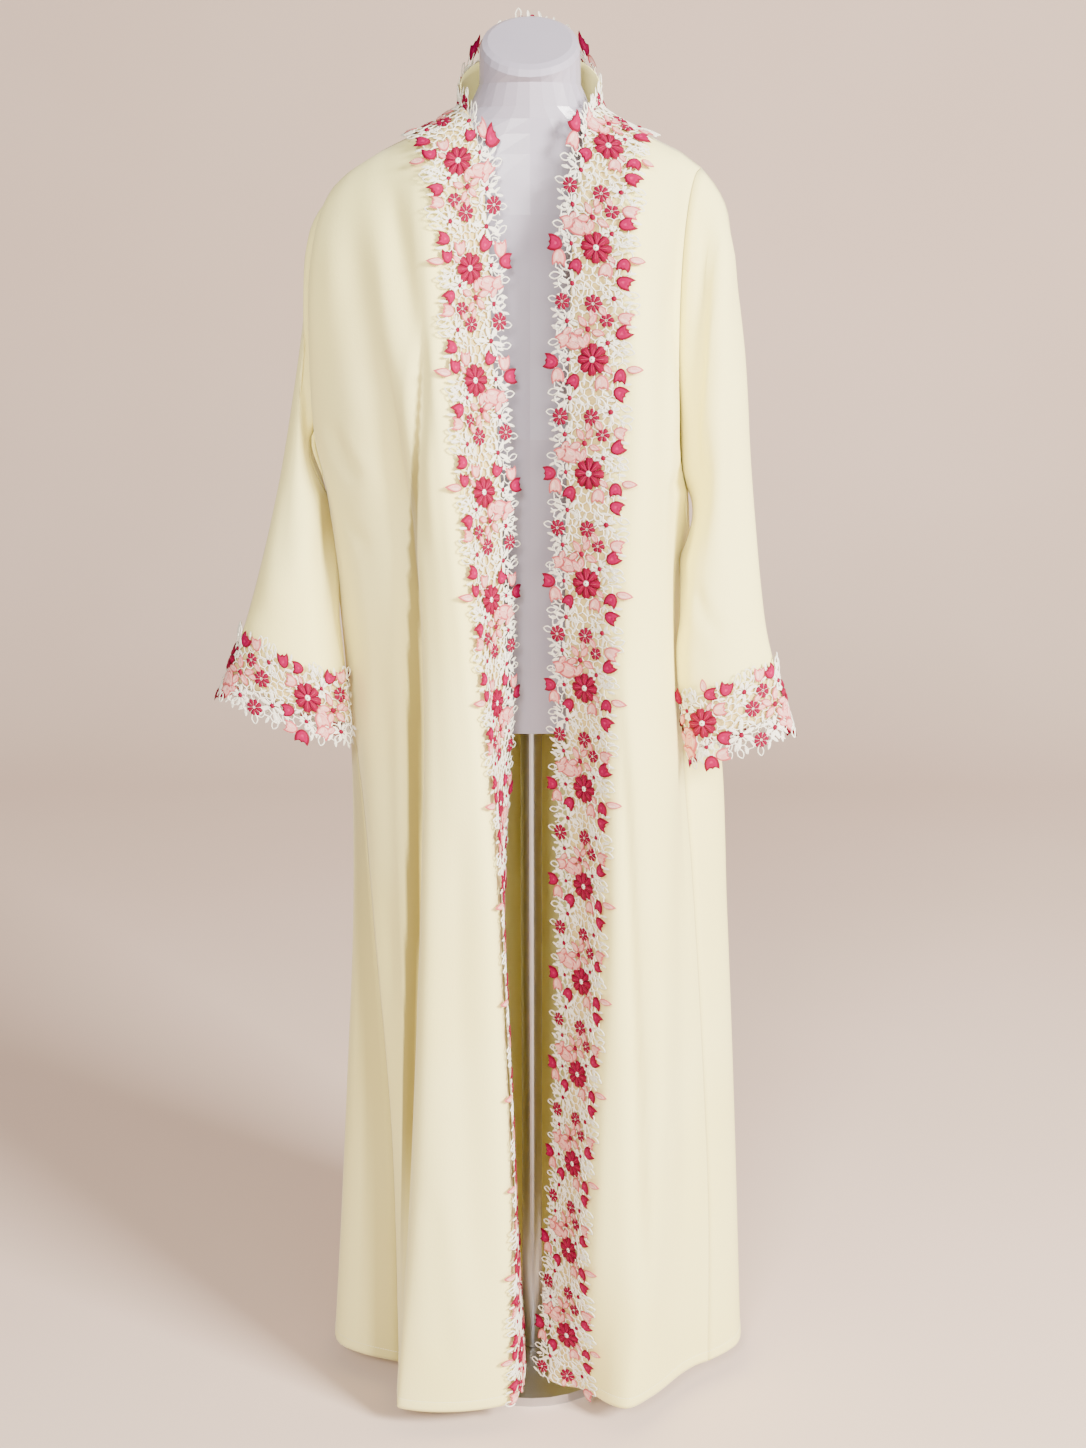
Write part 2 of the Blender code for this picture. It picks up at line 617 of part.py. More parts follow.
def collar_stand(material):
    """The strip of cloth that stands on the back neckline and leans a little to the neck."""
    grid, normals = [], []
    for share in (0.0, 0.5, 1.0):
        line, square = [], []
        for k in range(STAND_STEPS + 1):
            turn = math.pi * k / STAND_STEPS
            point, out = neckline(turn)
            height = STAND_SIDE_HEIGHT + (STAND_BACK_HEIGHT - STAND_SIDE_HEIGHT) * math.sin(turn)
            rise = 2 * SEAM + share * height
            point = point + out * (WALL - STAND_LEAN * rise) + np.array((0.0, 2 * SEAM, rise))
            line.append(point)
            square.append(out)
        grid.append(line)
        normals.append(square)
    grid, normals = np.array(grid), np.array(normals)
    wall_from_grid("collar_stand", grid, normals, WALL - SEAM, material, False)
    return grid


def collar_lay(back, start, stop):
    """Lays lace round the back of the neck between two turns, on the back panel and up the stand."""
    cloth = cloth_tree([back[: ROLL_STEPS + 3]])
    turns = np.linspace(start, stop, COLLAR_STEPS)
    line = np.array([neckline(turn)[0] for turn in turns])
    lengths = np.concatenate([[0.0], np.cumsum(np.linalg.norm(np.diff(line, axis=0), axis=1))])

    def lay(along, across):
        turn = float(np.interp(along, lengths, turns))
        point, out = neckline(turn)
        distance = across + EDGE_TO_FLOWER - COLLAR_CLIMB * math.sin(turn) ** COLLAR_CLIMB_POWER
        clear = WALL + LACE_LIFT
        if distance <= 0:
            rise = clear - distance
            return point + out * (clear - STAND_LEAN * rise) + np.array((0, 2 * SEAM, rise)), out
        place = point + out * (clear + distance * SHOULDER_SLOPE_SHARE)
        place[1] = max(place[1], SEAM)
        hit, square, face, depth = cloth.ray_cast(Vector((*place[:2], 2.0)), Vector((0, 0, -1)))
        if hit is None:
            hit, square, face, depth = cloth.find_nearest(Vector(place))
        square = np.array(square) * (1 if square[2] > 0 else -1)
        normal = square + out * max(0.0, 1 - distance / COLLAR_TURN)
        normal /= np.linalg.norm(normal)
        return np.array(hit) + square * LACE_LIFT + np.array((0, 2 * SEAM, 2 * SEAM)), normal

    return lay, lengths[-1]


def ring_solid(name, rings, material):
    """A closed solid from rings of points, bottom to top, with flat ends."""
    count = len(rings[0])
    points = [point for ring in rings for point in ring]
    faces = []
    for i in range(len(rings) - 1):
        for j in range(count):
            a, b = i * count + j, i * count + (j + 1) % count
            faces += [(a, b, b + count), (a, b + count, a + count)]
    for ring, order in ((0, -1), (len(rings) - 1, 1)):
        middle = len(points)
        points.append(tuple(np.mean(rings[ring], axis=0)))
        for j in range(count):
            a, b = ring * count + j, ring * count + (j + 1) % count
            faces.append((a, b, middle) if order > 0 else (b, a, middle))
    return add_solid(name, points, faces, material)


def oval(half_width, forward, backward, height, pinch=1.0, slope=0.0):
    """A ring of points. Slope tips its height up towards the back, and pinch thins its two ends."""
    ring = []
    for k in range(FORM_TURNS):
        turn = 2 * math.pi * k / FORM_TURNS
        x = half_width * math.cos(turn)
        y = math.copysign(abs(math.sin(turn)) ** pinch, math.sin(turn))
        y *= backward if y > 0 else forward
        ring.append((x, y, height + slope * y))
    return ring


def dress_form(material):
    """The smooth limbless form: hips, waist, shoulders, and a neck with a slanting top."""
    rings = []
    for height, half_width, forward, backward, pinch in FORM_SECTIONS:
        rings.append(oval(half_width, forward, backward, height, pinch))
    slope = (NECK_TOP_BACK - NECK_TOP_FRONT) / (NECK_FRONT + NECK_BACK_DEPTH)
    top = NECK_TOP_FRONT + slope * NECK_FRONT
    corner = CAP_ROUND * (1 - math.sqrt(0.5))
    for inset, drop in ((0.0, CAP_ROUND), (corner, corner), (CAP_ROUND, 0.0)):
        sizes = (NECK_HALF_WIDTH - inset, NECK_FRONT - inset, NECK_BACK_DEPTH - inset)
        rings.append(oval(*sizes, top - drop, slope=slope))
    ring_solid("form_body", rings, material)


def turned(name, radius, bottom, top, material):
    rings = []
    for height in (bottom, top):
        ring = []
        for k in range(STAND_TURNS):
            turn = 2 * math.pi * k / STAND_TURNS
            ring.append((radius * math.cos(turn), STAND_BACKWARD + radius * math.sin(turn), height))
        rings.append(ring)
    ring_solid(name, rings, material)


def build():
    crepe = new_material("crepe", (0.92, 0.88, 0.68), 0.8)
    lace = new_material("lace", (0.86, 0.45, 0.55), 0.7)
    shell = new_material("form_plastic", (0.80, 0.80, 0.88), 0.25)
    steel = new_material("brushed_steel", (0.60, 0.60, 0.62), 0.35, 1.0)

    right_heights = rows_below_chest(RIGHT_UNDERARM, RIGHT_ROWS)
    left_heights = rows_below_chest(LEFT_UNDERARM, LEFT_ROWS)
    right = front_panel(RIGHT_FRONT, RIGHT_FRONT_STEPS, right_heights, -1, RIGHT_SLEEVE[0][0][0])
    left = front_panel(LEFT_FRONT, LEFT_FRONT_STEPS, left_heights, 1, LEFT_SLEEVE[0][0][0])
    back = back_panel(right, left)

    # Each piece of cloth: its points, and whether its columns run the other way round
    under = ROLL_STEPS + ARM_STEPS + 1
    grids = {"front_right": (right, False), "front_left": (left, True), "back": (back, False)}
    for word, table, side, front, column in (
        ("right", RIGHT_SLEEVE, -1, right, 0),
        ("left", LEFT_SLEEVE, 1, left, -1),
    ):
        for half, ring in (("front", front[:under, -1]), ("back", back[:under, column])):
            sleeve = sleeve_half(table, side, ring, half == "front")
            grids[f"sleeve_{word}_{half}"] = (sleeve, (word == "right") == (half == "front"))

    normals = {}
    for name, (grid, mirrored) in grids.items():
        direction = grid_normals(grid)
        normals[name] = -direction if mirrored else direction
    for name in ("front_right", "front_left", "back"):
        shoulder = normals[name][0]
        shoulder[:, 1] = 0.0
        shoulder /= np.linalg.norm(shoulder, axis=1, keepdims=True)
    share_normals(("front_right", "front_left", "back"), grids, normals, 0.0)
    share_normals(("sleeve_right_front", "sleeve_right_back"), grids, normals, 0.0)
    share_normals(("sleeve_left_front", "sleeve_left_back"), grids, normals, 0.0)
    share_normals(tuple(grids), grids, normals, SHARP_TURN)

    parted = {}
    for name, (grid, mirrored) in grids.items():
        thickness, sides = WALL, ("top", "first", "last")
        if name.startswith("front"):
            sides = ("top", "last")
        parted[name] = draw_back(grid, sides, HALF_SEAM)
        if name.startswith("sleeve"):
            thickness = SLEEVE_WALL
            parted[name] = draw_back(parted[name], ("top",), HALF_SEAM)
        wall_from_grid(name, parted[name], normals[name], thickness, crepe, mirrored)
    cloth = cloth_tree(list(parted.values()) + [collar_stand(crepe)])

    phases = {"right": (RIGHT_FIRST_FLOWER, 1), "left": (LEFT_FIRST_FLOWER, -1)}
    for word, (phase, way) in phases.items():
        name = f"front_{word}"
        lay, length = lace_on_grid(parted[name], normals[name], EDGE_TO_FLOWER)
        flat, triangles = lace_chart(length, phase, way)
        lace_solid(f"lace_{name}", flat, triangles, lay, cloth, lace)
        start = 0.0 if word == "left" else math.pi
        lay, neck_length = collar_lay(back, start, math.pi / 2)
        flat, triangles = lace_chart(neck_length - SEAM, phase - length, way)
        lace_solid(f"lace_collar_{word}", flat, triangles, lay, cloth, lace)
        for half in ("front", "back"):
            name = f"sleeve_{word}_{half}"
            grid = parted[name][::-1].transpose(1, 0, 2)
            square = normals[name][::-1].transpose(1, 0, 2)
            lay, length = lace_on_grid(grid, square, CUFF_EDGE_TO_FLOWER)
            flat, triangles = lace_chart(length, CUFF_FIRST_FLOWER[word, half], 1)
            lace_solid(f"lace_cuff_{word}_{half}", flat, triangles, lay, cloth, lace)

    dress_form(shell)
    turned("form_pole", POLE_RADIUS, BASE_THICK + SEAM, FORM_SECTIONS[0][0] - SEAM, steel)
    turned("form_base", BASE_RADIUS, 0.0, BASE_THICK, steel)


build()
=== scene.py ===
# %% [markdown]
# # An open-front abaya with a flower lace edging
#
# The garment is a long cloak of matt crepe, open down the middle, with wide sleeves. One strip of heavy
# cord lace runs up one front edge, stands round the back of the neck and goes down the other front, and
# shorter strips close the cuffs. It hangs on a limbless dress form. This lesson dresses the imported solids:
# each wall of cloth becomes a thin smooth shell with folds, and each flat lace wall becomes cords, petals
# and knots.

# %% Frame
import math

import bmesh
import bpy
import numpy as np
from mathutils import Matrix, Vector
from mathutils.bvhtree import BVHTree
from mathutils.geometry import delaunay_2d_cdt


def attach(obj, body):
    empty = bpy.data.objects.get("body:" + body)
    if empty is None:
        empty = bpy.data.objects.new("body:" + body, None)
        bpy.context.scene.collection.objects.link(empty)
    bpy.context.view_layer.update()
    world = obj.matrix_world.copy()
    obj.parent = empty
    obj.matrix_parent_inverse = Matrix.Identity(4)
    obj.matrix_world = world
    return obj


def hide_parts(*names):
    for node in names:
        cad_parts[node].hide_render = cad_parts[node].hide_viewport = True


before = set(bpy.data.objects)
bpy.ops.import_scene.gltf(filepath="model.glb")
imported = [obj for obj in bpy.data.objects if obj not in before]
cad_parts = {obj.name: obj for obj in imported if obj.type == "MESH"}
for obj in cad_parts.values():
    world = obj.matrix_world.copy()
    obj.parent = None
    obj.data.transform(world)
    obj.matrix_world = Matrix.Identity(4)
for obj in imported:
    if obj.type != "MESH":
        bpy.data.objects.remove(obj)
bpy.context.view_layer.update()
MM = 0.001
print("nodes in the frame:", len(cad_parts))

# %% [markdown]
# ## Camera
#
# The picture was taken from a little above chest height with the camera tipped down, so upright lines draw
# together towards the floor. The lens, the height and the tilt below give the same narrowing. The sensor is
# fitted to the picture's height, because the picture is upright.

# %% Camera
CAMERA_PLACE = (0.0135, -1.98, 1.38)
CAMERA_TILT = math.radians(90 - 15.5)
CAMERA_LENS = 44.75
SENSOR_HEIGHT = 36.0

camera_data = bpy.data.cameras.new("camera")
camera_data.sensor_fit = "VERTICAL"
camera_data.sensor_height = SENSOR_HEIGHT
camera_data.lens = CAMERA_LENS
camera = bpy.data.objects.new("camera", camera_data)
camera.location = CAMERA_PLACE
camera.rotation_euler = (CAMERA_TILT, 0.0, 0.0)
bpy.context.scene.collection.objects.link(camera)
bpy.context.scene.camera = camera
print("view transform:", bpy.context.scene.view_settings.view_transform)

# %% [markdown]
# ## Mesh helpers
#
# Every piece below is made from arrays of points and faces, so one helper turns them into an object. It
# keeps the object at the origin, with its place in its mesh, and smooths the shading.

# %% Mesh helpers
def add_piece(name, points, faces, materials, uv=None, face_materials=None):
    """A mesh object from points and faces, with one UV for each corner where given."""
    mesh = bpy.data.meshes.new(name)
    mesh.from_pydata([tuple(point) for point in np.asarray(points, float).tolist()], [], faces)
    for material in materials:
        mesh.materials.append(material)
    if uv is not None:
        layer = mesh.uv_layers.new(name="UVMap")
        layer.data.foreach_set("uv", np.asarray(uv, np.float32).ravel())
    if face_materials is not None:
        mesh.polygons.foreach_set("material_index", np.asarray(face_materials, np.int32))
    mesh.shade_smooth()
    piece = bpy.data.objects.new(name, mesh)
    bpy.context.scene.collection.objects.link(piece)
    return piece


def run_lengths(line):
    """How far along a line each of its points lies."""
    return np.concatenate([[0.0], np.cumsum(np.linalg.norm(np.diff(line, axis=0), axis=1))])


def far_along(grid, axis):
    """How far along its row or column each point of a grid lies."""
    steps = np.linalg.norm(np.diff(grid, axis=axis), axis=2)
    start = np.zeros_like(np.take(steps, [0], axis=axis))
    return np.concatenate([start, np.cumsum(steps, axis=axis)], axis=axis)


def count_triangles(piece):
    """The triangles of a piece as it will be rendered."""
    shown = piece.evaluated_get(bpy.context.evaluated_depsgraph_get())
    mesh = shown.to_mesh()
    total = sum(len(face.vertices) - 2 for face in mesh.polygons)
    shown.to_mesh_clear()
    return total

# %% [markdown]
# ## Shared finishes
#
# Crepe is woven from tightly twisted yarn, which gives it a fine pebbled face. Embroidery thread lies in
# fine parallel ridges. Both are too small to model, so each is a shader node group that puts out a height,
# and every material that needs it places the group with its own scale.

# %% Node group helpers
def set_input(tree, socket, value):
    """Links a socket where the value is one, and sets it to a plain value otherwise."""
    if isinstance(value, bpy.types.NodeSocket):
        tree.links.new(value, socket)
    elif value is not None:
        socket.default_value = value


def add_node(tree, kind, **inputs):
    """A node with some inputs set or linked. A low line in a name stands for a space."""
    node = tree.nodes.new(kind)
    for name, value in inputs.items():
        set_input(tree, node.inputs[name.replace("_", " ")], value)
    return node


def new_group(name, inputs, outputs):
    """An empty shader node group with named float inputs and outputs."""
    group = bpy.data.node_groups.new(name, "ShaderNodeTree")
    for label, value in inputs:
        kind = "NodeSocketVector" if value is None else "NodeSocketFloat"
        socket = group.interface.new_socket(label, in_out="INPUT", socket_type=kind)
        if value is not None:
            socket.default_value = value
    for label in outputs:
        group.interface.new_socket(label, in_out="OUTPUT", socket_type="NodeSocketFloat")
    return group, group.nodes.new("NodeGroupInput"), group.nodes.new("NodeGroupOutput")


def math_node(tree, operation, first, second=None):
    """A maths node whose inputs are sockets or numbers."""
    node = tree.nodes.new("ShaderNodeMath")
    node.operation = operation
    for socket, value in zip(node.inputs, (first, second)):
        set_input(tree, socket, value)
    return node.outputs[0]

# %% Crepe grain group
PEBBLE_SIZES = (1.0, 0.37)


def crepe_group():
    """Fine pebbles of two sizes, a little longer down the cloth than across it."""
    group, start, end = new_group("crepe_grain", (("Vector", None), ("Pebbles", 900.0)), ("Height",))
    stretch = add_node(group, "ShaderNodeMapping", Vector=start.outputs["Vector"], Scale=(1.0, 0.6, 1.0))
    place, sizes = stretch.outputs["Vector"], []
    for share in PEBBLE_SIZES:
        scale = math_node(group, "MULTIPLY", start.outputs["Pebbles"], share)
        noise = add_node(group, "ShaderNodeTexNoise", Scale=scale, Detail=1.0, Vector=place)
        sizes.append(noise.outputs["Fac"])
    group.links.new(math_node(group, "ADD", *sizes), end.inputs["Height"])
    return group

# %% Thread group
WOBBLE = 0.35


def thread_group():
    """Parallel ridges along one direction of the petal, with a slow wobble so they aren't ruled lines."""
    group, start, end = new_group("thread_ridges", (("Vector", None), ("Threads", 9.0)), ("Height", "Wander"))
    place = start.outputs["Vector"]
    noise = add_node(group, "ShaderNodeTexNoise", Scale=1.7, Detail=1.0, Vector=place)
    split = add_node(group, "ShaderNodeSeparateXYZ", Vector=place)
    bend = math_node(group, "MULTIPLY", noise.outputs["Fac"], WOBBLE)
    along = math_node(group, "ADD", split.outputs["Y"], bend)
    turns = math_node(group, "MULTIPLY", along, start.outputs["Threads"])
    wave = math_node(group, "SINE", math_node(group, "MULTIPLY", turns, 2 * math.pi))
    group.links.new(wave, end.inputs["Height"])
    group.links.new(noise.outputs["Fac"], end.inputs["Wander"])
    return group


CREPE_GRAIN = crepe_group()
THREAD_RIDGES = thread_group()
print("shared finishes:", CREPE_GRAIN.name, THREAD_RIDGES.name)

# %% Material helpers
def new_material(name, colour, roughness, metallic=0.0, sheen=0.0):
    """A Principled material and its node tree, shader and nodes to work with."""
    material = bpy.data.materials.new(name)
    material.use_nodes = True
    material.diffuse_color = (*colour, 1.0)
    tree = material.node_tree
    shader = tree.nodes["Principled BSDF"]
    shader.inputs["Base Color"].default_value = (*colour, 1.0)
    shader.inputs["Roughness"].default_value = roughness
    shader.inputs["Metallic"].default_value = metallic
    shader.inputs["Sheen Weight"].default_value = sheen
    return material, tree, shader


def place_group(tree, group, **values):
    """A shared group in a material, with its own values."""
    node = tree.nodes.new("ShaderNodeGroup")
    node.node_tree = group
    for name, value in values.items():
        set_input(tree, node.inputs[name], value)
    return node


def add_bump(tree, shader, height, strength, distance):
    bump = add_node(tree, "ShaderNodeBump", Strength=strength, Distance=distance, Height=height)
    tree.links.new(bump.outputs["Normal"], shader.inputs["Normal"])


def mix_colours(tree, factor, first, second):
    """A colour between two, each a socket or a plain colour."""
    node = tree.nodes.new("ShaderNodeMix")
    node.data_type = "RGBA"
    tree.links.new(factor, node.inputs["Factor"])
    for socket, value in ((node.inputs[6], first), (node.inputs[7], second)):
        set_input(tree, socket, (*value, 1.0) if isinstance(value, tuple) else value)
    return node.outputs[2]


def soft_step(tree, value, low, high):
    """0 below low, 1 above high and smooth between."""
    node = add_node(tree, "ShaderNodeMapRange", From_Min=low, From_Max=high, Value=value)
    node.interpolation_type = "SMOOTHSTEP"
    return node.outputs["Result"]


def soft_fall(tree, value, low, high):
    """1 below low, 0 above high and smooth between."""
    return math_node(tree, "SUBTRACT", 1.0, soft_step(tree, value, low, high))


def cloudy_colour(tree, shader, scale, detail, limits, first, second):
    """A slow cloud of two colours by the place on the object. Returns the noise and the mixed colour."""
    where = tree.nodes.new("ShaderNodeTexCoord").outputs["Object"]
    noise = add_node(tree, "ShaderNodeTexNoise", Scale=scale, Detail=detail, Vector=where).outputs["Fac"]
    mixed = mix_colours(tree, soft_step(tree, noise, *limits), first, second)
    tree.links.new(mixed, shader.inputs["Base Color"])
    return noise, mixed

# %% [markdown]
# ## Crepe
#
# The cloth is a pale lemon cream with a dry, powdery sheen. Its colour isn't even: the dye takes a little
# deeper in places, so a slow cloud of colour is mixed in by the place on the object. Under the lace a
# deeper straw colour is painted on as the lace's shade, and inside deep folds a dull khaki is painted on
# as the fold's shade. Two values kept on the mesh say where.

# %% Crepe material
CREAM = (0.94, 0.870, 0.37)
CREAM_DEEP = (0.93, 0.850, 0.33)
# Painted shade: the straw under the lace and the khaki in deep folds.
CREAM_LACE_SHADE = (0.62, 0.46, 0.17)
CREAM_FOLD_SHADE = (0.30, 0.235, 0.055)
LACE_SHADE_SHARE = 0.85
CREPE_ROUGHNESS = 0.78
CREPE_SHEEN, SHEEN_ROUGHNESS = 0.25, 0.45
CREPE_GLOSS = 0.35
CLOUD_SIZE, CLOUD_DETAIL, CLOUD_LIMITS = 3.5, 2.0, (0.40, 0.62)
CREPE_PEBBLES = 1100.0
GRAIN_STRENGTH, GRAIN_DEPTH = 0.35, 0.0004


def crepe_material():
    material, tree, shader = new_material("crepe", CREAM, CREPE_ROUGHNESS, sheen=CREPE_SHEEN)
    shader.inputs["Sheen Roughness"].default_value = SHEEN_ROUGHNESS
    shader.inputs["Specular IOR Level"].default_value = CREPE_GLOSS
    _, cloth = cloudy_colour(tree, shader, CLOUD_SIZE, CLOUD_DETAIL, CLOUD_LIMITS, CREAM, CREAM_DEEP)
    marks = []
    for label in ("painted_lace_shade", "painted_fold_shade"):
        mark = tree.nodes.new("ShaderNodeAttribute")
        mark.attribute_name = label
        marks.append(mark.outputs["Fac"])
    # Painted shade: the lace's shade, then the shade of deep folds, mixed into the cloth's colour.
    lace_shaded = mix_colours(tree, math_node(tree, "MULTIPLY", marks[0], LACE_SHADE_SHARE), cloth, CREAM_LACE_SHADE)
    tree.links.new(mix_colours(tree, marks[1], lace_shaded, CREAM_FOLD_SHADE), shader.inputs["Base Color"])
    flat = tree.nodes.new("ShaderNodeTexCoord").outputs["UV"]
    grain = place_group(tree, CREPE_GRAIN, Vector=flat, Pebbles=CREPE_PEBBLES)
    add_bump(tree, shader, grain.outputs["Height"], GRAIN_STRENGTH, GRAIN_DEPTH)
    return material


CREPE = crepe_material()
print("cloth:", CREPE.name, "with the values painted_lace_shade and painted_fold_shade")

# %% [markdown]
# ## From a solid wall to a sheet
#
# The frame's cloth is a closed wall whose outer face is a grid of points. Smoothing needs that grid back.
# The narrow rim faces are the only ones with an edge as short as the cloth is thick, so without them the
# wall falls into two sheets, and the outer one faces away from the body. Each square of the grid was cut
# along the same diagonal, so two of its corners touch three edges, and walking from the upper one gives
# rows and columns.

# %% Reading the grid of a wall
MERGE = 0.00002
RIM_EDGE = 0.0021


def sheets_of(node):
    """The two faces of a wall, each as a set of bmesh faces, and the bmesh that holds them."""
    shape = bmesh.new()
    shape.from_mesh(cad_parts[node].data)
    bmesh.ops.remove_doubles(shape, verts=shape.verts, dist=MERGE)
    rims = [face for face in shape.faces if min(edge.calc_length() for edge in face.edges) < RIM_EDGE]
    bmesh.ops.delete(shape, geom=rims, context="FACES")
    left = set(shape.faces)
    found = []
    while left:
        group, queue = set(), [left.pop()]
        while queue:
            face = queue.pop()
            group.add(face)
            for edge in face.edges:
                for other in edge.link_faces:
                    if other in left:
                        left.remove(other)
                        queue.append(other)
        found.append(group)
    return shape, sorted(found, key=len)[-2:]


def walk_edge(start, after):
    """Along the edge of a sheet from one corner to the next, where only two edges meet."""
    line = [start, after]
    while sum(edge.is_boundary for edge in line[-1].link_edges) and len(line[-1].link_edges) > 2:
        steps = [edge.other_vert(line[-1]) for edge in line[-1].link_edges if edge.is_boundary]
        line.append([vert for vert in steps if vert is not line[-2]][0])
    return line


def outer_grid(node, outward):
    """The outer points of a wall, as an array of rows and columns, top row first."""
    shape, groups = sheets_of(node)
    sums = [sum((face.normal * face.calc_area() for face in group), Vector()) for group in groups]
    group = groups[int(np.argmax([total.dot(outward) for total in sums]))]
    verts = {vert for face in group for vert in face.verts}
    corners = [vert for vert in verts if vert.is_boundary and len(vert.link_edges) == 3]
    first = max(corners, key=lambda vert: vert.co.z)
    nexts = [edge.other_vert(first) for edge in first.link_edges if edge.is_boundary]
    lines = sorted((walk_edge(first, after) for after in nexts), key=lambda line: -line[-1].co.z)
    rows, column = [lines[0]], lines[1]
    for start in column[1:]:
        row, above = [start], rows[-1]
        before = set(rows[-2]) if len(rows) > 1 else set()
        for left, right in zip(above[:-1], above[1:]):
            shared = next(edge for edge in left.link_edges if edge.other_vert(left) is right)
            for face in shared.link_faces:
                third = next(vert for vert in face.verts if vert not in (left, right))
                if third not in before:
                    row.append(third)
        rows.append(row)
    grid = np.array([[tuple(vert.co) for vert in row] for row in rows])
    shape.free()
    return grid


CLOTH_SIDES = {
    "front_right": (0, -1, 0),
    "front_left": (0, -1, 0),
    "back": (0, 1, 0),
    "sleeve_right_front": (-0.3, -1, 0),
    "sleeve_right_back": (-0.3, 1, 0),
    "sleeve_left_front": (0.3, -1, 0),
    "sleeve_left_back": (0.3, 1, 0),
    "collar_stand": (0, 1, 0),
}
coarse = {name: outer_grid(name, Vector(side)) for name, side in CLOTH_SIDES.items()}
for name, grid in coarse.items():
    print(name, "is a grid of", grid.shape[0], "rows and", grid.shape[1], "columns")

# %% [markdown]
# ## From the coarse grid to smooth cloth
#
# A curve through the coarse points gives the drape, and the creases come on top of it. A subdivision
# surface would pull the edges in and open the seams, so each row and column is a curve that passes through
# its points. Neighbours share their edge points, and all the panels use the same rows, so the seams stay
# shut.

# %% Smooth grids
STEP_DOWN = 0.0090
STEP_ACROSS = {"front_right": 0.0038, "front_left": 0.0042, "back": 0.0062}
STEP_ROUND = 0.0055


def parts_between(gaps, step):
    return np.maximum(1, np.round(gaps / step)).astype(int)


def smooth_along(points, gaps, step, axis):
    """More points on smooth curves through the given ones, along one axis. Gaps are the mean distances."""
    points = np.moveaxis(points, axis, 0)
    slopes = np.diff(points, axis=0) / gaps[:, None, None]
    before, after = gaps[:-1, None, None], gaps[1:, None, None]
    middle = (slopes[:-1] * after + slopes[1:] * before) / (before + after)
    tangents = np.concatenate([slopes[:1], middle, slopes[-1:]])
    lines = []
    for place, parts in enumerate(parts_between(gaps, step)):
        start, end, gap = points[place], points[place + 1], gaps[place]
        for share in np.arange(parts) / parts:
            square, cube = share**2, share**3
            line = (2 * cube - 3 * square + 1) * start + (3 * square - 2 * cube) * end
            line += (cube - 2 * square + share) * gap * tangents[place]
            line += (cube - square) * gap * tangents[place + 1]
            lines.append(line)
    lines.append(points[-1])
    return np.moveaxis(np.array(lines), 0, axis)


def mean_gaps(grid, axis):
    return np.linalg.norm(np.diff(grid, axis=axis), axis=2).mean(axis=1 - axis)


def grid_normals(grid, outward):
    """Unit normals of a grid, on the side that looks outward."""
    down, across = np.gradient(grid, axis=0), np.gradient(grid, axis=1)
    normals = np.cross(across, down)
    normals /= np.maximum(np.linalg.norm(normals, axis=2, keepdims=True), 1e-12)
    return normals * np.sign((normals @ np.array(outward, float)).sum())


PANELS = ("front_right", "front_left", "back")
panel_gaps = mean_gaps(coarse["back"], 0)
fine = {}
for name, grid in coarse.items():
    gaps = panel_gaps if name in PANELS else mean_gaps(grid, 0)
    tall = smooth_along(grid, gaps, STEP_DOWN, 0)
    fine[name] = smooth_along(tall, mean_gaps(grid, 1), STEP_ACROSS.get(name, STEP_ROUND), 1)
    print(name, "has", fine[name].shape[0] - 1, "by", fine[name].shape[1] - 1, "faces")

# %% [markdown]
# ## Sleeves that reach the body
#
# The wide sleeves hang with their underarm side close against the body. A wall of cloth in the frame stops
# a little short of it, so the underarm side is let out by up to 20 mm. Both halves share the underarm seam,
# and the overarm seam stays where it is, so the sleeve only gets wider. The cloth there lies in a deep
# fold, and the fold's shade is painted into its colour.

# %% Letting the sleeves out
SLEEVE_REACH = 0.020
SLEEVE_FOLD = 0.030
FOLD_EDGE = 0.007
REACH_STARTS = 0.07
CUFF_HEIGHT = 1.06
CUFF_FADE = 0.10
CUFF_HOLD = 0.6
STAYS_TO = 0.35


def share_to_underarm(grid):
    """The share of the way round a sleeve half, from the overarm seam to the underarm, and its width."""
    far = far_along(grid, 1)
    width = far[:, -1:]
    share = far / width
    if abs(grid[:, 0, 0].mean()) < abs(grid[:, -1, 0].mean()):
        share = 1 - share
    return share, width


def let_out(grid):
    """A sleeve half moved towards the body at the underarm, and how much fold shade is painted on each point.
    """
    share, width = share_to_underarm(grid)
    top = grid[0, np.argmax(share[0]), 2]
    started = np.clip((top - grid[:, :, 2]) / REACH_STARTS, 0, 1) ** 2
    near_cuff = np.clip((CUFF_HEIGHT - grid[:, :, 2]) / CUFF_FADE, 0, 1)
    reach = SLEEVE_REACH * started * (1 - CUFF_HOLD * near_cuff)
    moved = grid.copy()
    moved[:, :, 0] -= np.sign(grid[:, :, 0]) * reach * np.clip((share - STAYS_TO) / (1 - STAYS_TO), 0, 1) ** 2
    # Painted shade of the underarm fold, strongest at the seam.
    deep = np.clip((SLEEVE_FOLD - (1 - share) * width) / FOLD_EDGE, 0, 1) * started * (1 - near_cuff)
    return moved, deep


underarm = {}
for name in [name for name in fine if name.startswith("sleeve")]:
    fine[name], underarm[name] = let_out(fine[name])
    print(name, "is let out below", round(float(fine[name][0, :, 2].min()), 3), "m")
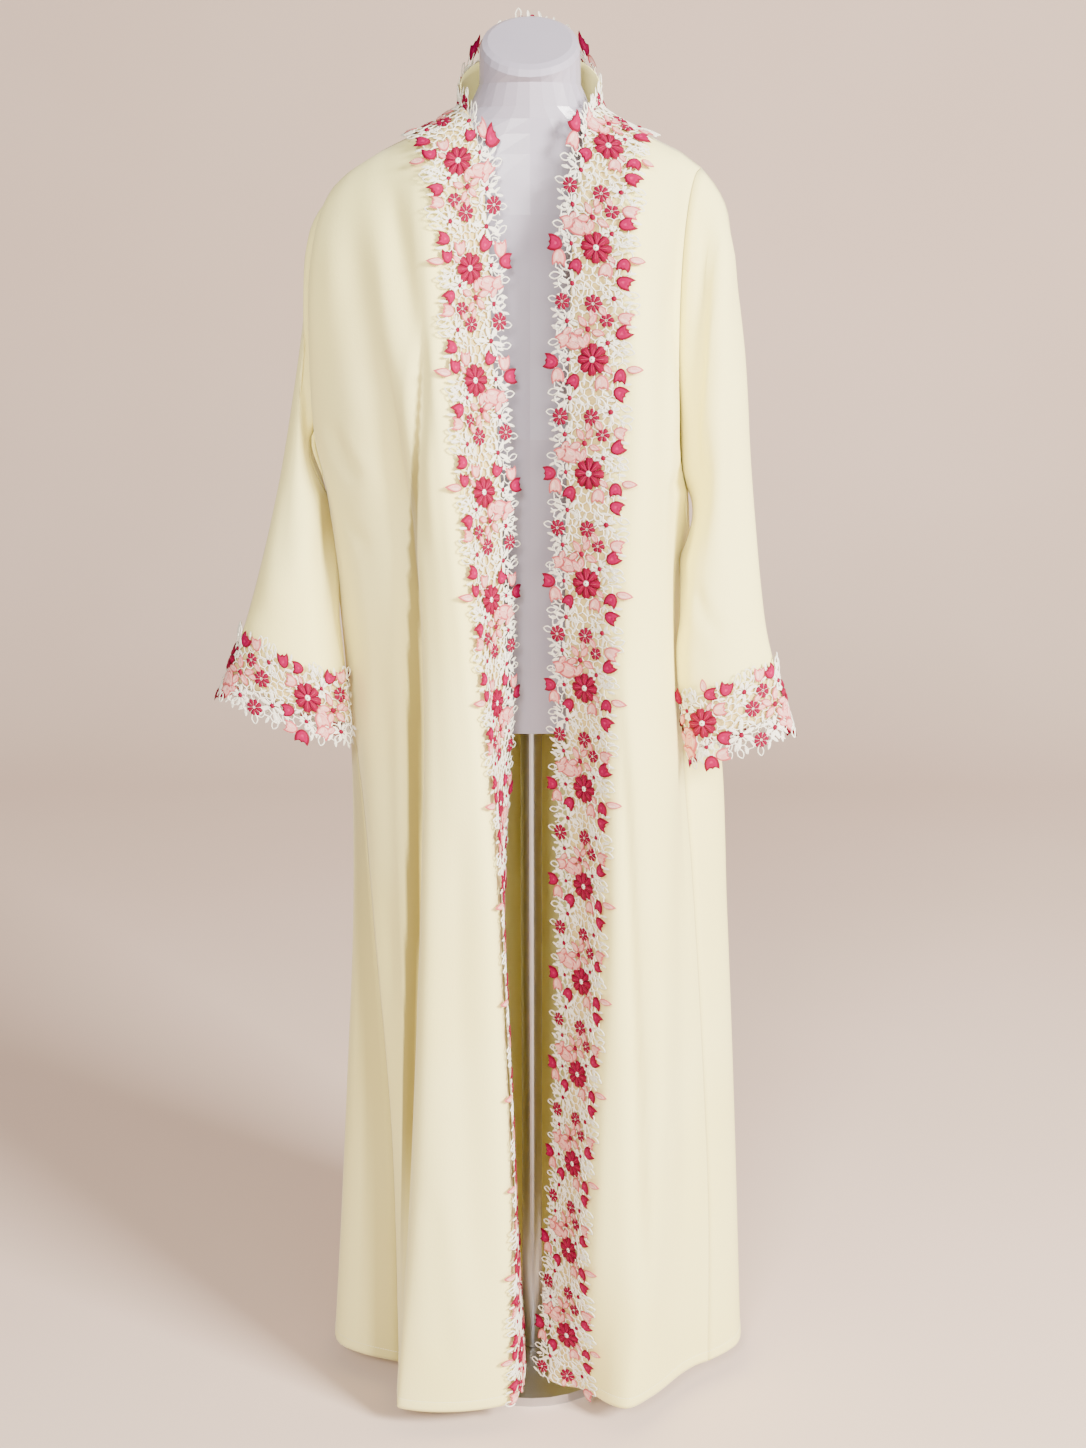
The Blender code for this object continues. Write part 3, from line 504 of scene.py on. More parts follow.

# %% [markdown]
# ## Creases
#
# Crepe this weight hangs in a few long soft folds. Each one is drawn as a line of places across the
# cloth, in millimetres from the middle of the garment and up from the floor, with its own width and depth.
# Its section is a trough between two low ridges, as cloth that is pushed in has to come out beside it. It
# fades at both ends, and near a seam, which holds the cloth. The folds of the back and the far sides follow
# the same kind.

# %% Crease lines
# Each crease: half width and depth in millimetres, then its line as (x, z) in millimetres.
FRONT_RIGHT_CREASES = (
    (7, 3.0, ((-108, 1290), (-112, 1215), (-116, 1120), (-117, 1040))),
    (13, 4.0, ((-148, 1440), (-131, 1365), (-116, 1278), (-102, 1130))),
    (15, 3.5, ((-185, 1400), (-172, 1300), (-150, 1180), (-138, 1040))),
    (7, 2.6, ((-212, 1180), (-196, 1140), (-176, 1115))),
    (6, 1.8, ((-205, 1085), (-186, 1062), (-170, 1050))),
    (11, 4.0, ((-160, 940), (-160, 700), (-166, 480))),
    (18, 3.6, ((-75, 820), (-78, 560), (-70, 300), (-60, 120))),
    (12, 1.5, ((-112, 330), (-106, 200), (-98, 70))),
)
FRONT_LEFT_CREASES = (
    (10, 3.4, ((99, 897), (105, 783), (112, 666), (118, 545), (127, 349), (142, 88))),
    (12, 3.2, ((150, 1390), (146, 1260), (140, 1120), (136, 980))),
    (13, 3.6, ((168, 860), (172, 640), (176, 420), (182, 180))),
    (8, 4.0, ((182, 1150), (166, 1120), (146, 1106))),
    (12, 2.2, ((92, 1300), (98, 1150), (104, 1010))),
    (12, 2.6, ((148, 420), (156, 260), (166, 80))),
)
BACK_CREASES = (
    (14, 4.5, ((-70, 1180), (-82, 900), (-90, 620), (-104, 330), (-112, 90))),
    (12, 3.2, ((18, 1120), (12, 850), (20, 560), (24, 260))),
    (15, 4.0, ((96, 1210), (104, 960), (112, 700), (128, 400), (134, 120))),
    (9, 2.4, ((-150, 1130), (-156, 880), (-158, 600))),
    (9, 2.2, ((158, 1100), (160, 840), (172, 520))),
    (7, 2.0, ((-120, 1390), (-150, 1310), (-172, 1220))),
    (7, 1.8, ((124, 1385), (150, 1300), (170, 1215))),
    (11, 1.6, ((-24, 700), (-30, 420), (-38, 160))),
)
# Each lap: width, depth and reach in millimetres, then its line. The cloth to the left of it stands proud.
LAPS = {
    "front_left": ((7, 6, 40, ((96, 960), (105, 783), (112, 666), (118, 545), (127, 349), (142, 88))),),
    "sleeve_left_front": ((6, 8, 30, ((190, 1400), (190, 1350), (186, 1290), (184, 1220), (182, 1120))),),
}
SLEEVE_CREASES = {
    "sleeve_right_front": (
        (8, 3.0, ((-222, 1390), (-224, 1330), (-233, 1262), (-246, 1185))),
        (12, 2.6, ((-236, 1290), (-252, 1180), (-268, 1080), (-280, 990))),
        (9, 2.0, ((-196, 1150), (-218, 1080), (-232, 1000))),
        (10, 1.6, ((-290, 1120), (-300, 1040), (-310, 960))),
    ),
    "sleeve_right_back": (
        (11, 3.0, ((-232, 1330), (-246, 1220), (-256, 1110), (-262, 1000))),
        (8, 2.0, ((-205, 1180), (-222, 1090), (-238, 1010))),
    ),
    "sleeve_left_front": (
        (9, 3.2, ((184, 1400), (186, 1350), (182, 1290), (181, 1220), (180, 1150), (182, 1060))),
        (11, 2.2, ((204, 1250), (214, 1140), (224, 1050), (232, 970))),
        (7, 1.8, ((176, 1010), (188, 975), (206, 950))),
    ),
    "sleeve_left_back": (
        (11, 3.0, ((214, 1310), (222, 1200), (230, 1090), (238, 990))),
        (8, 1.8, ((190, 1160), (198, 1070), (208, 990))),
    ),
}
CREASES = {
    "front_right": FRONT_RIGHT_CREASES,
    "front_left": FRONT_LEFT_CREASES,
    "back": BACK_CREASES,
    "collar_stand": (),
    **SLEEVE_CREASES,
}

# %% Pressing the creases in
SEAM_HOLD = 0.022
RIDGE_SHARE = 0.42
RIDGE_PLACE = 2.1
RIPPLE_HEIGHT = 0.0006
RIPPLE_WAVES = 6
RIPPLE_ACROSS, RIPPLE_UP, RIPPLE_START = (25, 80), (3, 12), (0, 6.3)
STARTS_AT, WIDENS_BY = 0.75, 0.5
FADE_LENGTH = 0.22


def smooth_rise(value):
    value = np.clip(value, 0.0, 1.0)
    return value * value * (3 - 2 * value)


def line_distance(grid, line):
    """The distance of each point of a grid from a line, the share of the line there, and its side."""
    places = grid[:, :, (0, 2)]
    stops = np.array(line, float) * MM
    lengths = np.linalg.norm(np.diff(stops, axis=0), axis=1)
    before = np.concatenate([[0.0], np.cumsum(lengths)])
    size = places.shape[:2]
    nearest, share, side = np.full(size, np.inf), np.zeros(size), np.zeros(size)
    for start, end, length, reached in zip(stops[:-1], stops[1:], lengths, before):
        along = np.clip(((places - start) @ (end - start)) / length**2, 0, 1)
        gap = np.linalg.norm(places - (start + along[..., None] * (end - start)), axis=2)
        closer = gap < nearest
        nearest = np.where(closer, gap, nearest)
        share = np.where(closer, (reached + along * length) / before[-1], share)
        ahead = places - start
        turn = (end - start)[1] * ahead[..., 0] - (end - start)[0] * ahead[..., 1]
        side = np.where(closer, -np.sign(turn), side)
    return nearest, share, side


def fade_ends(share):
    return smooth_rise(share / FADE_LENGTH) * smooth_rise((1 - share) / FADE_LENGTH)


def lap_push(grid, width, depth, reach, line):
    """Cloth that steps out on one side of a line and sinks back over some distance."""
    nearest, share, side = line_distance(grid, line)
    signed = nearest * side
    step = smooth_rise(0.5 + signed / (width * MM))
    return depth * MM * fade_ends(share) * step * np.exp(-((np.maximum(signed, 0) / (reach * MM)) ** 2))


def crease_push(grid, half_width, depth, line):
    """How far each point of a grid moves out of the cloth for one crease, in metres."""
    nearest, share, _ = line_distance(grid, line)
    width = half_width * MM * (STARTS_AT + WIDENS_BY * share)
    trough = np.exp(-((nearest / width) ** 2))
    ridge = np.exp(-(((nearest - RIDGE_PLACE * width) / width) ** 2))
    return depth * MM * fade_ends(share) * (RIDGE_SHARE * ridge - trough)


def hold_at_edges(grid):
    """0 on the edges of a sheet and 1 away from them, where the cloth is free to crease."""
    hold = np.ones(grid.shape[:2])
    for axis in (0, 1):
        far = far_along(grid, axis)
        length = np.take(far, [-1], axis=axis)
        hold *= smooth_rise(np.minimum(far, length - far) / SEAM_HOLD)
    return hold


def ripple(grid, seed):
    """A slow unevenness, as no cloth hangs quite flat."""
    chance = np.random.default_rng(seed)
    total = np.zeros(grid.shape[:2])
    for turn in range(RIPPLE_WAVES):
        across, up, start = (chance.uniform(*limits) for limits in (RIPPLE_ACROSS, RIPPLE_UP, RIPPLE_START))
        total += np.sin(grid[:, :, 0] * across + grid[:, :, 2] * up + start) / (1 + turn)
    return RIPPLE_HEIGHT * total


# The pleat of the right front, in millimetres: height, place across and width of the cloth behind it, which
# is painted in shade.
PLEAT = ((60, -150, 9), (210, -147, 11), (423, -135, 16), (633, -125, 17), (771, -121, 16), (945, -118, 15),
         (1065, -117, 12), (1215, -110, 6), (1290, -106, 3))
PLEAT_EDGE = 1.6
SIDE_STRENGTH = 0.55
SIDE_WIDTH = 0.050
SIDE_EDGE = 0.02
PLEAT_FADES = ((0.12, 0.25), (1.30, 0.10))
SIDE_FADES = (0.80, 1.02)


def pleat_shade(grid):
    """Painted shade: 1 on the cloth that lies behind the pleat, with a sharp line on either side."""
    heights, places, widths = np.array(PLEAT, float).T * MM
    z = grid[:, :, 2]
    behind = (np.interp(z, heights, places) - grid[:, :, 0]) / MM
    width = np.interp(z, heights, widths) / MM
    (low, low_width), (high, high_width) = PLEAT_FADES
    fade = smooth_rise((z - low) / low_width) * smooth_rise((high - z) / high_width)
    return smooth_rise(behind / PLEAT_EDGE) * smooth_rise((width - behind) / PLEAT_EDGE) * fade


def side_seam_shade(grid):
    """How much shade is painted on the back panel, in the fold beside its seam with the right front."""
    order = grid if grid[0, 0, 0] < grid[0, -1, 0] else grid[:, ::-1]
    depth = smooth_rise((SIDE_WIDTH - far_along(order, 1)) / SIDE_EDGE)
    depth *= smooth_rise((SIDE_FADES[1] - order[:, :, 2]) / (SIDE_FADES[1] - SIDE_FADES[0]))
    return depth if order is grid else depth[:, ::-1]


# Painted shade: how much dull khaki each point of the cloth gets in its deep folds.
fold_shade_marks = {}
for seed, (name, side) in enumerate(CLOTH_SIDES.items()):
    grid = fine[name]
    push = sum((crease_push(grid, *crease) for crease in CREASES[name]), ripple(grid, seed))
    push = sum((lap_push(grid, *lap) for lap in LAPS.get(name, ())), push)
    push = push * hold_at_edges(grid) * (name != "collar_stand")
    fine[name] = grid + grid_normals(grid, side) * push[..., None]
    fold_shade_marks[name] = underarm.get(name, np.zeros(grid.shape[:2]))
fold_shade_marks["front_right"] = pleat_shade(fine["front_right"])
fold_shade_marks["back"] = SIDE_STRENGTH * side_seam_shade(fine["back"])
for name in CLOTH_SIDES:
    print(name, "has", int((fold_shade_marks[name] > 0.5).sum()), "points in deep folds")

# %% [markdown]
# ## Cutting the cloth
#
# Each panel becomes one sheet of squares with its own UV in metres, and a Solidify modifier gives it the
# thickness of crepe on the inside. The long edges are turned in and sewn, so the last few millimetres of
# the hem swell a little where the cloth lies three times on itself, and a shallow groove marks the row of
# stitches.

# %% Cloth sheets
CLOTH_THICKNESS = 0.0011
HEM_DEPTH = 0.013
HEM_SWELL = 0.0005
HEM_GROOVE = 0.0006
HEM_EDGE = 0.004
GROOVE_WIDTH = 0.0016
HEM_ROWS = (0.0165, 0.0145, 0.013, 0.0115, 0.009, 0.004)
HEM_CLEAR = 0.003


def grid_faces(rows, columns, turned):
    index = np.arange(rows * columns).reshape(rows, columns)
    a, b, c, d = index[:-1, :-1], index[:-1, 1:], index[1:, 1:], index[1:, :-1]
    order = (a, b, c, d) if turned else (a, d, c, b)
    return np.stack(order, axis=-1).reshape(-1, 4).tolist()


def grid_uv(grid, faces):
    """UV in metres, from the mean distances between rows and columns."""
    across = np.concatenate([[0.0], np.cumsum(mean_gaps(grid, 1))])
    down = np.concatenate([[0.0], np.cumsum(mean_gaps(grid, 0))])
    flat = np.stack(np.meshgrid(across, -down), axis=-1).reshape(-1, 2)
    return flat[np.array(faces).ravel()]


def faces_outward(grid, outward):
    """Whether squares taken in the order of the grid look outward."""
    middle = np.array(grid.shape[:2]) // 2
    a, b, d = grid[tuple(middle)], grid[middle[0], middle[1] + 1], grid[middle[0] + 1, middle[1]]
    return np.cross(b - a, d - a) @ outward[tuple(middle)] > 0


def hem_profile(distance):
    swell = HEM_SWELL * (1 - smooth_rise((distance - HEM_DEPTH) / HEM_EDGE))
    groove = HEM_GROOVE * np.exp(-(((distance - HEM_DEPTH) / GROOVE_WIDTH) ** 2))
    return swell - groove


def hem_distance(grid):
    """How far each point lies above the hem, along its column."""
    return far_along(grid[::-1], 0)[::-1]


def refine_hem(grid, values):
    """Rows added near the hem, so that its turned edge has a shape. Values are carried to the new rows."""
    distance = hem_distance(grid).mean(axis=1)
    kept = distance[distance > HEM_ROWS[0] + HEM_CLEAR]
    marks = np.concatenate([kept, HEM_ROWS, [0.0]])
    order = np.arange(len(distance), dtype=float)
    spots = np.interp(-marks, -distance, order)
    low = np.minimum(spots.astype(int), len(distance) - 2)
    share = (spots - low)[:, None]
    carried = values[low] * (1 - share) + values[low + 1] * share
    return grid[low] * (1 - share[..., None]) + grid[low + 1] * share[..., None], carried


FOLD_SHADE = 0.90
# The band under the front lace and the cuff lace that is painted in the lace's shade.
LACE_COVER = 0.056
LACE_COVER_EDGE = 0.008
COVER_WAVES = ((0.004, 165), (0.003, 290))
CUFF_COVER = 0.050
CUFF_COVER_EDGE = 0.010


def lace_shade_mask(name, grid):
    """Painted shade of the lace: 1 where the cloth lies under lace, and 0 away from it."""
    if name.startswith("front"):
        ragged = LACE_COVER
        for height, rate in COVER_WAVES:
            ragged = ragged + height * np.sin(grid[:, :, 2] * rate)
        return smooth_rise((ragged - far_along(grid, 1)) / LACE_COVER_EDGE)
    if name.startswith("sleeve"):
        return smooth_rise((CUFF_COVER - hem_distance(grid)) / CUFF_COVER_EDGE)
    return np.zeros(grid.shape[:2])


cloth_pieces = {}
surface = {}
for name, side in CLOTH_SIDES.items():
    grid, deep = refine_hem(fine[name], fold_shade_marks[name]) if name in PANELS else (fine[name], fold_shade_marks[name])
    outward = grid_normals(grid, side)
    if name in PANELS:
        grid = grid + outward * hem_profile(hem_distance(grid))[..., None]
    faces = grid_faces(*grid.shape[:2], faces_outward(grid, outward))
    piece = add_piece("crepe_" + name, grid.reshape(-1, 3), faces, [CREPE], grid_uv(grid, faces))
    # Painted shade marks: one under the lace and one in deep folds.
    for label, values in (("painted_lace_shade", lace_shade_mask(name, grid)), ("painted_fold_shade", FOLD_SHADE * deep)):
        piece.data.attributes.new(label, "FLOAT", "POINT").data.foreach_set("value", values.ravel())
    shell = piece.modifiers.new("thickness", "SOLIDIFY")
    shell.thickness = CLOTH_THICKNESS
    shell.offset = -1.0
    shell.use_even_offset = False
    cloth_pieces[name] = piece
    surface[name] = grid
    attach(piece, "root")
    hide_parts(name)
print("cloth triangles:", sum(count_triangles(piece) for piece in cloth_pieces.values()))

# %% [markdown]
# ## Lace: thread colours
#
# The lace is machine embroidery on a ground that is washed away afterwards, so it is thread through and
# through: satin stitch on the petals, and cords between them. White, rose red and pale pink threads are
# used. Every petal has a UV that runs across it from -1 to 1 and along it from 0 to 1, which is enough to
# place veins, outlines and the direction of the stitches.

# %% Thread materials
THREAD_WHITE = (0.90, 0.875, 0.75)
ROSE_RED = (0.18, 0.0, 0.020)
# Painted shade for the folds between rose petals.
ROSE_SHADE = (0.08, 0.0, 0.006)
ROSE_PINK = (0.27, 0.0, 0.045)
BLUSH = (0.52, 0.10, 0.11)
BLUSH_LIGHT = (0.78, 0.36, 0.32)
BLUSH_PALE = (0.87, 0.66, 0.57)
THREAD_SHADED = (0.88, 0.84, 0.69)
ROSE_VEIN = (0.60, 0.10, 0.17)
TULIP_HEART = (0.46, 0.02, 0.11)
TULIP_PINK = (0.32, 0.0, 0.06)
THREAD_ROUGHNESS = 0.6
THREAD_GLOSS = 0.12
THREAD_COUNT = 11.0
RIDGE_STRENGTH, RIDGE_DEPTH = 0.4, 0.0003


def thread_material(name, colour, shade):
    """A satin thread material. Shade is a function that gives the colour from the two UV values."""
    material, tree, shader = new_material(name, colour, THREAD_ROUGHNESS)
    shader.inputs["Specular IOR Level"].default_value = THREAD_GLOSS
    flat = tree.nodes.new("ShaderNodeTexCoord").outputs["UV"]
    ridges = place_group(tree, THREAD_RIDGES, Vector=flat, Threads=THREAD_COUNT)
    add_bump(tree, shader, ridges.outputs["Height"], RIDGE_STRENGTH, RIDGE_DEPTH)
    split = add_node(tree, "ShaderNodeSeparateXYZ", Vector=flat)
    across = math_node(tree, "ABSOLUTE", split.outputs["X"])
    result = shade(tree, across, split.outputs["Y"], ridges.outputs["Wander"])
    tree.links.new(result, shader.inputs["Base Color"])
    return material


def shade_white(tree, across, along, wander):
    patch = soft_step(tree, wander, 0.45, 0.62)
    return mix_colours(tree, patch, THREAD_WHITE, THREAD_SHADED)


def shade_rose(tree, across, along, wander):
    """Rose petals, darker near the middle, with shade painted in the folds between, and a thin pale vein."""
    worn = mix_colours(tree, soft_step(tree, wander, 0.4, 0.65), ROSE_RED, ROSE_PINK)
    # Painted shade in the folds between petals.
    valley = soft_step(tree, across, 0.82, 1.0)
    fold_shaded = mix_colours(tree, valley, worn, ROSE_SHADE)
    near = soft_fall(tree, across, 0.03, 0.09)
    inside = soft_fall(tree, along, 0.62, 0.75)
    vein = math_node(tree, "MULTIPLY", math_node(tree, "MULTIPLY", near, inside), 0.55)
    return mix_colours(tree, vein, fold_shaded, ROSE_VEIN)


def shade_wedge(tree, across, along, wander):
    """Small flowers: red wedges with white thread between them and in the middle."""
    worn = mix_colours(tree, soft_step(tree, wander, 0.4, 0.65), ROSE_RED, ROSE_PINK)
    side = soft_step(tree, across, 0.92, 1.0)
    middle = soft_fall(tree, along, 0.02, 0.10)
    pale = math_node(tree, "MAXIMUM", side, middle)
    return mix_colours(tree, pale, worn, THREAD_WHITE)


def shade_tulip(tree, across, along, wander):
    """Tulips: a dark red outline, pink inside, and a pale mark near the base."""
    rim = soft_step(tree, along, 0.66, 0.76)
    inside = mix_colours(tree, soft_step(tree, along, 0.06, 0.30), TULIP_HEART, TULIP_PINK)
    return mix_colours(tree, rim, inside, ROSE_RED)


def shade_blush(tree, across, along, wander):
    """Pale pink petals with a slightly deeper outline."""
    rim = soft_step(tree, along, 0.70, 0.80)
    inside = mix_colours(tree, soft_step(tree, wander, 0.50, 0.72), BLUSH_LIGHT, BLUSH_PALE)
    return mix_colours(tree, rim, inside, BLUSH)


WHITE_THREAD = thread_material("thread_white", THREAD_WHITE, shade_white)
ROSE_THREAD = thread_material("thread_rose", ROSE_RED, shade_rose)
WEDGE_THREAD = thread_material("thread_wedge", ROSE_RED, shade_wedge)
TULIP_THREAD = thread_material("thread_tulip", ROSE_PINK, shade_tulip)
BLUSH_THREAD = thread_material("thread_blush", BLUSH, shade_blush)
LACE_MATERIALS = (WHITE_THREAD, ROSE_THREAD, WEDGE_THREAD, TULIP_THREAD, BLUSH_THREAD)

# %% [markdown]
# ## Lace: the motifs
#
# Each motif is one small mesh, flat on its own ground in millimetres, with ten to a few hundred faces and a
# low swell of thread. In a ring of petals each petal is one grid in turns and radii. Tulips and leaves are
# outlines drawn as lists of points and filled in rings, so that the outline can stand up as a cord.

# %% Motif shapes
ABOVE_CORDS = 0.7
PETAL_FILL = 0.98
PETAL_ROUND, ROUND_POWER = 0.20, 2.6
NOTCH_WIDTH = 0.22
PETAL_SLOPE = 0.92
DOME_FROM, DOME_TURN = 0.16, 0.84
MIRROR_LINE = 1e-6


def motif_object(name, points, faces, uv, material):
    """A motif from points in millimetres. Coloured ones lie on top of the white cords."""
    points = np.asarray(points, float) * MM
    if material is not WHITE_THREAD or "ring" in name:
        points[:, 2] += ABOVE_CORDS * MM
    mesh = bpy.data.meshes.new(name)
    mesh.from_pydata(points.tolist(), [], faces)
    mesh.materials.append(material)
    layer = mesh.uv_layers.new(name="UVMap")
    corners = np.asarray(uv, np.float32)[np.concatenate([np.array(face) for face in faces])]
    layer.data.foreach_set("uv", corners.ravel())
    return bpy.data.objects.new(name, mesh)


def petal_ring(name, petals, inner, outer, notch, swell, rings, spokes, material):
    """A ring of petals with rounded, slightly notched ends, from an inner to an outer radius."""
    points, faces, uv = [], [], []
    for petal in range(petals):
        first = len(points)
        for ring in range(rings + 1):
            share = ring / rings
            for spoke in range(spokes + 1):
                side = 2 * spoke / spokes - 1
                cut = notch * math.exp(-((side / NOTCH_WIDTH) ** 2))
                reach = outer * (1 - PETAL_ROUND * abs(side) ** ROUND_POWER - cut)
                radius = inner + (reach - inner) * share
                turn = math.pi * (2 * petal + PETAL_FILL * side) / petals
                round_over = math.sqrt(max(0.0, 1 - PETAL_SLOPE * side * side))
                dome = round_over * math.sin(math.pi * (DOME_FROM + DOME_TURN * share)) ** 0.5
                points.append((radius * math.cos(turn), radius * math.sin(turn), swell * dome))
                uv.append((side, share))
        for ring in range(rings):
            for spoke in range(spokes):
                a = first + ring * (spokes + 1) + spoke
                faces.append((a, a + spokes + 1, a + spokes + 2, a + 1))
    return motif_object(name, points, faces, uv, material)


def filled_outline(name, outline, middle, heights, material):
    """A closed outline filled in rings towards its middle. Heights run from the middle to the rim."""
    outline, middle = np.array(outline, float), np.array(middle, float)
    count, rings = len(outline), len(heights) - 1
    points, uv = [(*middle, heights[0])], [(0.0, 0.0)]
    for ring in range(1, rings + 1):
        share = ring / rings
        for place, spot in enumerate(outline):
            points.append((*(middle + (spot - middle) * share), heights[ring]))
            uv.append((math.sin(2 * math.pi * place / count), share))
    faces = [(0, 1 + place, 1 + (place + 1) % count) for place in range(count)]
    for ring in range(rings - 1):
        for place in range(count):
            a, b = 1 + ring * count + place, 1 + ring * count + (place + 1) % count
            faces.append((a, a + count, b + count, b))
    return motif_object(name, points, faces, uv, material)


def mirrored_outline(half):
    """A closed outline, anticlockwise, from its half above the axis, tip first."""
    return list(half) + [(x, -y) for x, y in half[::-1] if abs(y) > MIRROR_LINE]


TULIP_HALF = ((7.2, 0.0), (6.0, 1.3), (5.7, 2.8), (6.8, 4.4), (8.6, 6.5), (6.4, 7.2), (3.0, 7.6))
TULIP_HALF += ((-0.6, 7.2), (-3.8, 6.0), (-6.2, 4.1), (-7.6, 2.0), (-8.0, 0.0))
BUD_HALF = ((8.2, 0.0), (5.8, 2.0), (3.0, 3.4), (0.0, 4.0), (-3.0, 3.4), (-5.6, 1.8), (-6.6, 0.0))
LEAF_HALF = ((5.0, 0.0), (3.4, 0.95), (1.0, 1.5), (-1.6, 1.25), (-3.8, 0.65), (-5.0, 0.0))
LOOP_HALF = tuple((1.25 * x, 2.1 * y) for x, y in LEAF_HALF)
# Each row of a daisy leaf: how far along it lies, and the share of the full width there.
DAISY_ROWS = ((0.0, 0.35), (0.3, 0.8), (0.62, 1.0), (0.86, 0.62), (1.0, 0.0))
DAISY_EDGE, DAISY_RIDGE = 0.25, 0.75
SWAY, SWAY_RATE = 0.16, 2.4
SHORTEST, LENGTH_CHANGE, LENGTH_RATE = 0.9, 0.1, 1.9
CORD_SECTION = ((0.5, 0.1), (0.0, 0.95), (-0.5, 0.1))
LOOP_UV_STEP = 0.2
DOT_SIDES = 10
DOT_RINGS = ((0.6, 0.8), (1.0, 0.1))
DOT_UV = (0.3, 0.9)


def daisy_object(name, petals, inner, length, width, material):
    """A ring of separate leaves round a middle, each a ridge that slopes to its edges."""
    points, faces, uv = [], [], []
    for petal in range(petals):
        turn = 2 * math.pi * petal / petals + SWAY * math.sin(SWAY_RATE * petal)
        reach = length * (SHORTEST + LENGTH_CHANGE * math.cos(LENGTH_RATE * petal))
        sine, cosine = math.sin(turn), math.cos(turn)
        first = len(points)
        for share, wide in DAISY_ROWS:
            for side in (-1, 0, 1):
                x, y = inner + reach * share, 0.5 * width * wide * side
                z = DAISY_EDGE + DAISY_RIDGE * (1 - abs(side)) * (wide > 0)
                points.append((x * cosine - y * sine, x * sine + y * cosine, z))
                uv.append((side, share))
        for row in range(len(DAISY_ROWS) - 1):
            for side in range(2):
                a = first + 3 * row + side
                faces.append((a, a + 3, a + 4, a + 1))
    return motif_object(name, points, faces, uv, material)


def loop_object(name, half, thick, material):
    """The outline of a leaf as one closed cord."""
    outline = np.array(mirrored_outline(half), float)
    following = np.roll(outline, -1, axis=0) - np.roll(outline, 1, axis=0)
    square = np.stack([following[:, 1], -following[:, 0]], axis=1)
    square /= np.linalg.norm(square, axis=1, keepdims=True)
    points, faces, uv = [], [], []
    for place, (spot, out) in enumerate(zip(outline, square)):
        for reach, height in CORD_SECTION:
            points.append((*(spot + out * reach * thick), height * thick))
            uv.append((2 * reach, place * LOOP_UV_STEP))
    count = len(outline)
    for place in range(count):
        for side in range(len(CORD_SECTION) - 1):
            a, b = 3 * place + side, 3 * ((place + 1) % count) + side
            faces.append((a, b, b + 1, a + 1))
    return motif_object(name, points, faces, uv, material)


def dot_object(name, radius, height, material):
    """A low round knot: a fan of faces and one ring round it."""
    points, faces = [(0, 0, height)], []
    for share, level in DOT_RINGS:
        for turn in np.arange(DOT_SIDES) * 2 * math.pi / DOT_SIDES:
            points.append((radius * share * math.cos(turn), radius * share * math.sin(turn), height * level))
    for place in range(DOT_SIDES):
        a, b = 1 + place, 1 + (place + 1) % DOT_SIDES
        faces += [(0, a, b), (a, a + DOT_SIDES, b + DOT_SIDES, b)]
    return motif_object(name, points, faces, [DOT_UV] * len(points), material)


TULIP = mirrored_outline(TULIP_HALF)
BUD = mirrored_outline(BUD_HALF)
MOTIFS = {
    "flower": petal_ring("motif_flower", 8, 3.0, 17.2, 0.07, 1.8, 5, 6, ROSE_THREAD),
    "wedge8": petal_ring("motif_wedge8", 8, 0.9, 9.4, 0.0, 1.3, 3, 4, WEDGE_THREAD),
    "wedge6": petal_ring("motif_wedge6", 6, 0.9, 8.0, 0.0, 1.3, 3, 4, WEDGE_THREAD),
    "tulip": filled_outline("motif_tulip", TULIP, (-1.2, 0), (0.9, 0.8, 1.5, 0.1), TULIP_THREAD),
    "blush": filled_outline("motif_blush", TULIP, (-1.2, 0), (0.6, 0.5, 1.1, 0.1), BLUSH_THREAD),
    "bud": filled_outline("motif_bud", BUD, (0, 0), (0.6, 0.5, 1.1, 0.1), BLUSH_THREAD),
    "petal": filled_outline("motif_petal", BUD, (0, 0), (0.5, 0.5, 1.2, 0.1), BLUSH_THREAD),
    "daisy": daisy_object("motif_daisy", 7, 2.2, 8.5, 3.5, WHITE_THREAD),
    "big_daisy": daisy_object("motif_big_daisy", 6, 2.4, 15.5, 4.6, WHITE_THREAD),
    "leaf": filled_outline("motif_leaf", mirrored_outline(LEAF_HALF), (0, 0), (1.0, 0.1), WHITE_THREAD),
    "loop": loop_object("motif_loop", LOOP_HALF, 1.3, WHITE_THREAD),
    "dot": dot_object("motif_dot", 2.9, 2.0, ROSE_THREAD),
    "ring": dot_object("motif_ring", 3.7, 1.7, WHITE_THREAD),
    "pip": dot_object("motif_pip", 1.1, 2.4, ROSE_THREAD),
}
print({name: sum(len(face.vertices) - 2 for face in motif.data.polygons) for name, motif in MOTIFS.items()})
